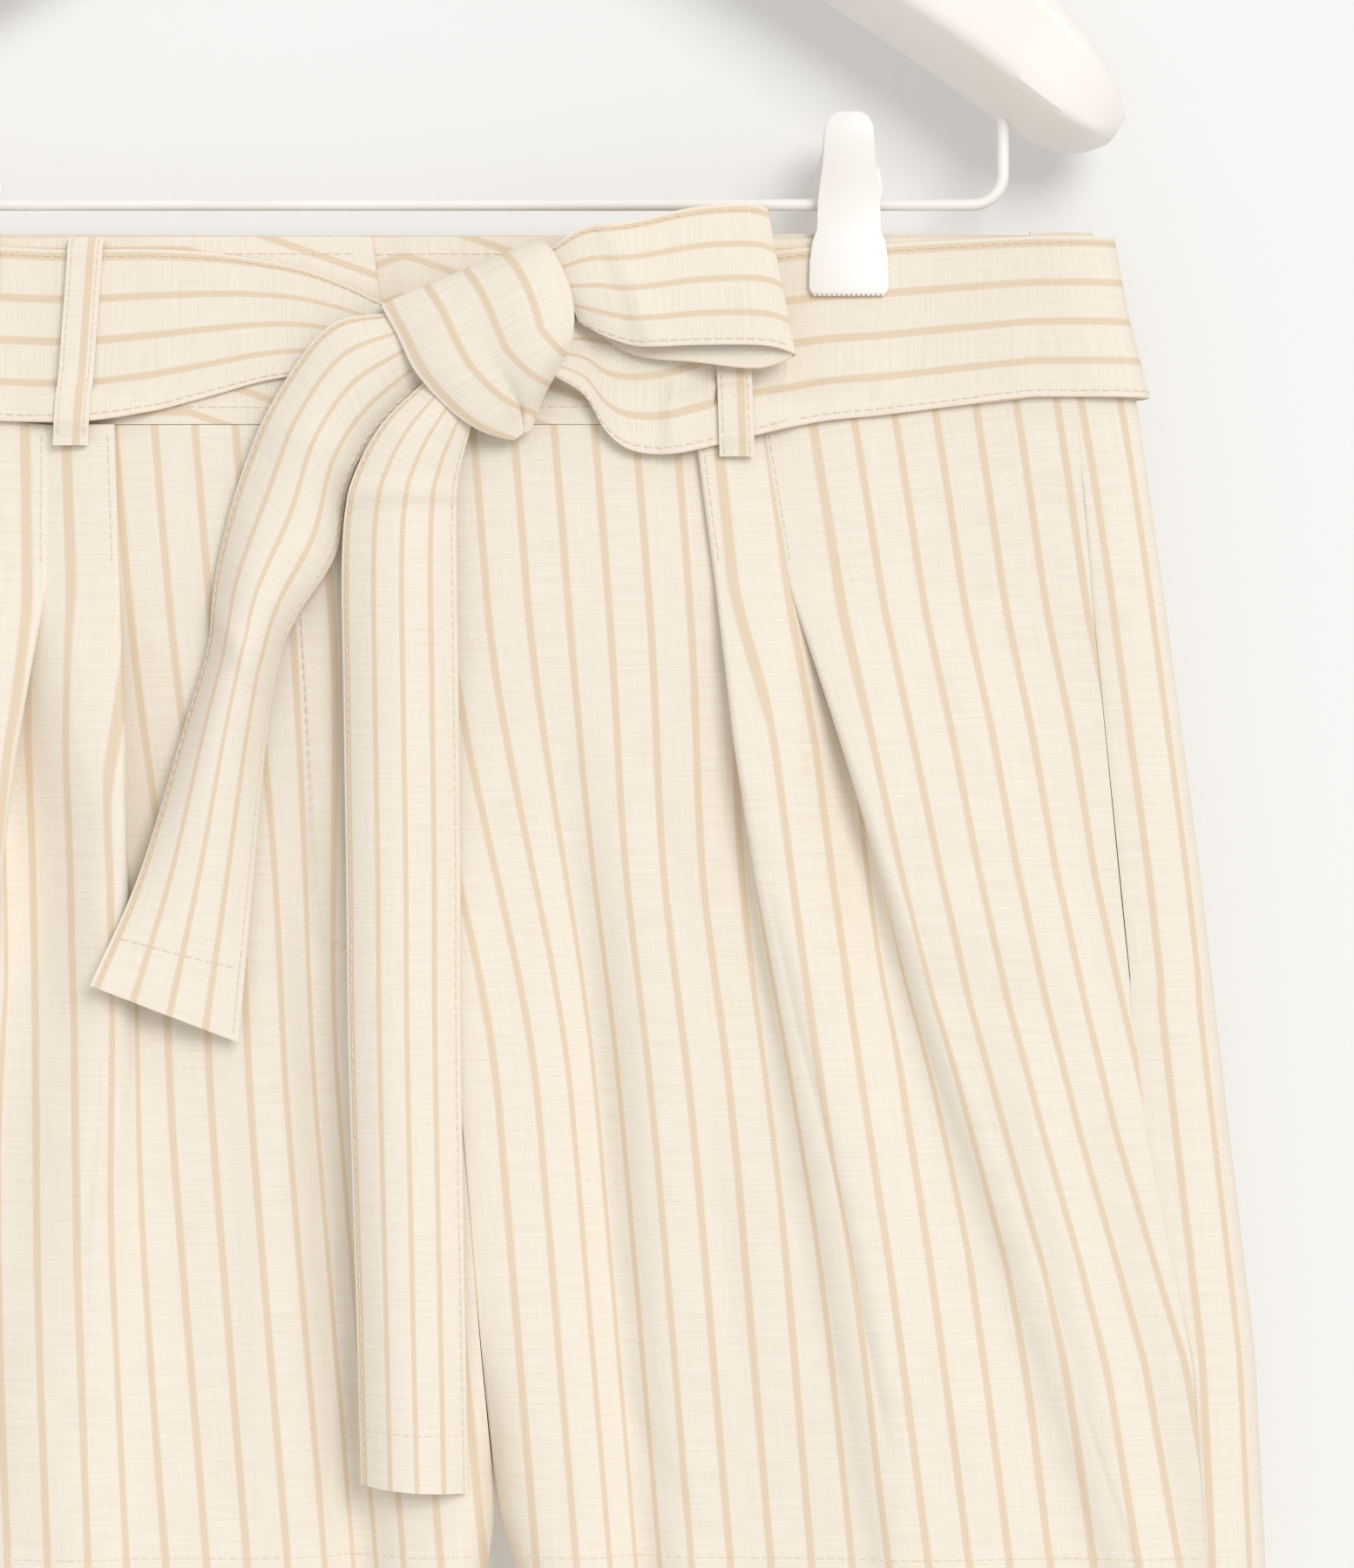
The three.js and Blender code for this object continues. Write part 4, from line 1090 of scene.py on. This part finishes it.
hook = {"radius": 2.0, "foot": -84.0, "bendRadius": 10.0, "bendFrom": -56.7, "lean": 42.0, "run": 20.6,
        "centre": -20.0, "sweep": 238.0}
deselectAll()
bpy.ops.mesh.primitive_circle_add(vertices=16, radius=hook["radius"] * mm, location=(0, 0, hook["foot"] * mm),
                                  fill_type="NGON")
wire = bpy.context.object
wire.name = "hangerHook"
setMode("EDIT")
bpy.ops.mesh.select_all(action="SELECT")
extrude(0, 0, hook["bendFrom"] - hook["foot"])
bpy.ops.mesh.spin(steps=8, angle=-math.radians(hook["lean"]), axis=(0, 1, 0),
                  center=(hook["bendRadius"] * mm, 0, hook["bendFrom"] * mm))
lean = math.radians(hook["lean"])
extrude(hook["run"] * math.sin(lean), 0, hook["run"] * math.cos(lean))
bpy.ops.mesh.spin(steps=48, angle=math.radians(hook["sweep"]), axis=(0, 1, 0),
                  center=(0, 0, hook["centre"] * mm))
setMode("OBJECT")
finishRigid(wire, wireEnamel, ["hanger_hook"])

bar = {"radius": 1.65, "end": 166.0, "bend": 8.5, "z": -220.0, "top": -176.0}
deselectAll()
bpy.ops.mesh.primitive_circle_add(vertices=16, radius=bar["radius"] * mm,
                                  location=(bar["end"] * mm, 0, bar["top"] * mm), fill_type="NGON")
barWire = bpy.context.object
barWire.name = "hangerBar"
bendZ = bar["z"] + bar["bend"]
inner = bar["end"] - bar["bend"]
setMode("EDIT")
bpy.ops.mesh.select_all(action="SELECT")
extrude(0, 0, bendZ - bar["top"])
bpy.ops.mesh.spin(steps=10, angle=-math.pi / 2, axis=(0, 1, 0), center=(inner * mm, 0, bendZ * mm))
extrude(-2 * inner, 0, 0)
bpy.ops.mesh.spin(steps=10, angle=-math.pi / 2, axis=(0, 1, 0), center=(-inner * mm, 0, bendZ * mm))
extrude(0, 0, bar["top"] - bendZ)
setMode("OBJECT")
finishRigid(barWire, wireEnamel, ["hanger_bar", "hanger_drop_right", "hanger_drop_left"])
print("hanger made")


# Clips: two levers with teeth, and a spring.

lever = table("z half out", [
    (-195.2, 3.2, 9.2),
    (-196.6, 5.3, 9.4),
    (-199.4, 6.7, 9.6),
    (-204, 7, 9.2),
    (-210, 7.4, 7.8),
    (-215.5, 8.2, 6),
    (-220, 8.7, 5.3),
    (-227.5, 8.9, 5.1),
    (-231, 10.2, 5.05),
    (-236, 10.9, 5.05),
    (-243.5, 11.1, 5.1),
    (-245.2, 10.3, 5.3),
])
jaw = {"ear": 1.8, "earFrom": -207, "earTo": -217, "wall": 1.6, "edge": 0.35, "thumbFrom": -197,
       "thumbTo": -211, "thumbInset": 1.3, "thumbDeep": 0.45, "toothSize": 0.7, "toothPitch": 1.35}


def makeLever(x, face, place, node):
    deselectAll()
    top = lever[0]
    bpy.ops.mesh.primitive_plane_add(size=1, location=(x * mm, face * top["out"] * mm, top["z"] * mm))
    piece = bpy.context.object
    piece.name = "clip" + node.title().replace("_", "")
    setMode("EDIT")
    bpy.ops.mesh.select_all(action="SELECT")
    bpy.ops.transform.resize(value=(2 * top["half"] * mm, jaw["wall"] * mm, 1),
                             center_override=(x * mm, face * top["out"] * mm, top["z"] * mm))
    before = top
    earAt = [dict(row) for row in lever[1:]]
    for row in earAt:
        if place == "rear" and jaw["earFrom"] > row["z"] > jaw["earTo"]:
            row["half"] += jaw["ear"]
    for row in earAt:
        extrude(0, face * (row["out"] - before["out"]), row["z"] - before["z"])
        bpy.ops.transform.resize(value=(row["half"] / before["half"], 1, 1),
                                 center_override=(x * mm, face * row["out"] * mm, row["z"] * mm))
        before = row
    setMode("OBJECT")
    # a shallow rest for the thumb
    for polygon in piece.data.polygons:
        centre = piece.matrix_world @ polygon.center
        atThumb = jaw["thumbTo"] * mm < centre.z < jaw["thumbFrom"] * mm
        polygon.select = polygon.normal.y * face > 0.6 and atThumb
    setMode("EDIT")
    bpy.ops.mesh.select_mode(type="FACE")
    bpy.ops.mesh.inset(thickness=jaw["thumbInset"] * mm, depth=-jaw["thumbDeep"] * mm)
    setMode("OBJECT")
    soften = piece.modifiers.new("edges", "BEVEL")
    soften.width, soften.segments, soften.limit_method, soften.angle_limit = jaw["edge"] * mm, 2, "ANGLE", 0.5
    finishRigid(piece, clipPlastic, [node])
    # teeth along the jaw, towards the cloth
    bottom = lever[-1]
    inward = -face * (jaw["wall"] / 2 - 0.1)
    deselectAll()
    count = int(2 * bottom["half"] / jaw["toothPitch"])
    bpy.ops.mesh.primitive_cube_add(size=jaw["toothSize"] * mm, location=(
        (x - (count - 1) * jaw["toothPitch"] / 2) * mm, face * bottom["out"] * mm, (bottom["z"] - 0.2) * mm))
    teeth = bpy.context.object
    teeth.name = piece.name + "Teeth"
    placeInMesh(teeth)
    row = teeth.modifiers.new("row", "ARRAY")
    row.use_relative_offset, row.use_constant_offset = False, True
    row.constant_offset_displace, row.count = (jaw["toothPitch"] * mm, 0, 0), count
    finishRigid(teeth, clipPlastic, [])


def makeSpring(x, node):
    coil = {"turns": 10, "major": 3.0, "minor": 0.5, "pitch": 1.15}
    deselectAll()
    bpy.ops.mesh.primitive_torus_add(major_radius=coil["major"] * mm, minor_radius=coil["minor"] * mm,
                                     major_segments=32, minor_segments=10, rotation=(0, math.pi / 2, 0),
                                     location=((x - coil["pitch"] * (coil["turns"] - 1) / 2) * mm, 0,
                                               bar["z"] * mm))
    spring = bpy.context.object
    spring.name = "clip" + node.title().replace("_", "")
    placeInMesh(spring)
    row = spring.modifiers.new("turns", "ARRAY")
    row.use_relative_offset, row.use_constant_offset = False, True
    row.constant_offset_displace, row.count = (coil["pitch"] * mm, 0, 0), coil["turns"]
    finishRigid(spring, wireEnamel, [node])


for name, sign in (("right", 1), ("left", -1)):
    makeLever(sign * clip["x"], -1, "front", f"clip_{name}_front")
    makeLever(sign * clip["x"], 1, "rear", f"clip_{name}_rear")
    makeSpring(sign * clip["x"], f"clip_{name}_spring")
print("clips made")


# Room, light and camera.

room = {"wallY": 0.029, "floorZ": -0.9, "size": 6.0, "paper": "#F3F3F3", "sky": "#FBFAF8", "fill": 0.69,
        "key": 1.3, "keyAngle": 28.0, "keyFrom": (0.6, -1.5, 0.6),
        "lens": 115.6, "cameraAt": (0.0754, -1.40, -0.381)}


def paperMaterial():
    # Matt white backdrop paper, which doesn't hide what stands before it when seen from behind.
    material, nodes, links, shader = newMaterial("backdropPaper")
    shader.inputs["Base Color"].default_value = srgb(room["paper"])
    shader.inputs["Roughness"].default_value = 1.0
    shader.inputs["Specular IOR Level"].default_value = 0.0
    clear = nodes.new("ShaderNodeBsdfTransparent")
    facing = nodes.new("ShaderNodeNewGeometry")
    mix = addNode(nodes, links, "ShaderNodeMixShader",
                  {0: facing.outputs["Backfacing"], 1: shader.outputs[0], 2: clear.outputs[0]})
    links.new(mix.outputs[0], nodes["Material Output"].inputs[0])
    return material


paper = paperMaterial()
deselectAll()
bpy.ops.mesh.primitive_plane_add(size=room["size"], location=(0, room["wallY"], 0),
                                 rotation=(math.pi / 2, 0, 0))
wall = bpy.context.object
wall.name = "backdropWall"
deselectAll()
bpy.ops.mesh.primitive_plane_add(size=room["size"], location=(0, 0, room["floorZ"]))
floor = bpy.context.object
floor.name = "backdropFloor"
for piece in (wall, floor):
    placeInMesh(piece)
    piece.data.materials.append(paper)
wall.visible_diffuse = False  # so that the room also lights the back of the garment

world = bpy.data.worlds.new("paleRoom")
world.use_nodes = True
world.node_tree.nodes["Background"].inputs[0].default_value = srgb(room["sky"])
world.node_tree.nodes["Background"].inputs[1].default_value = room["fill"]
bpy.context.scene.world = world


def softLight(name, towards, angle, strength):
    # a broad, even light from one side: towards is where it comes from
    light = bpy.data.lights.new(name, "SUN")
    light.angle, light.energy = math.radians(angle), strength
    lamp = bpy.data.objects.new(name, light)
    lamp.rotation_euler = Vector(towards).to_track_quat("Z", "Y").to_euler()
    bpy.context.collection.objects.link(lamp)


softLight("windowRight", room["keyFrom"], room["keyAngle"], room["key"])

cameraData = bpy.data.cameras.new("camera")
cameraData.lens, cameraData.sensor_width = room["lens"], 36.0
camera = bpy.data.objects.new("camera", cameraData)
camera.location = room["cameraAt"]
camera.rotation_euler = (math.pi / 2, 0, 0)
bpy.context.collection.objects.link(camera)
bpy.context.scene.camera = camera
bpy.context.scene.view_settings.view_transform = "Standard"
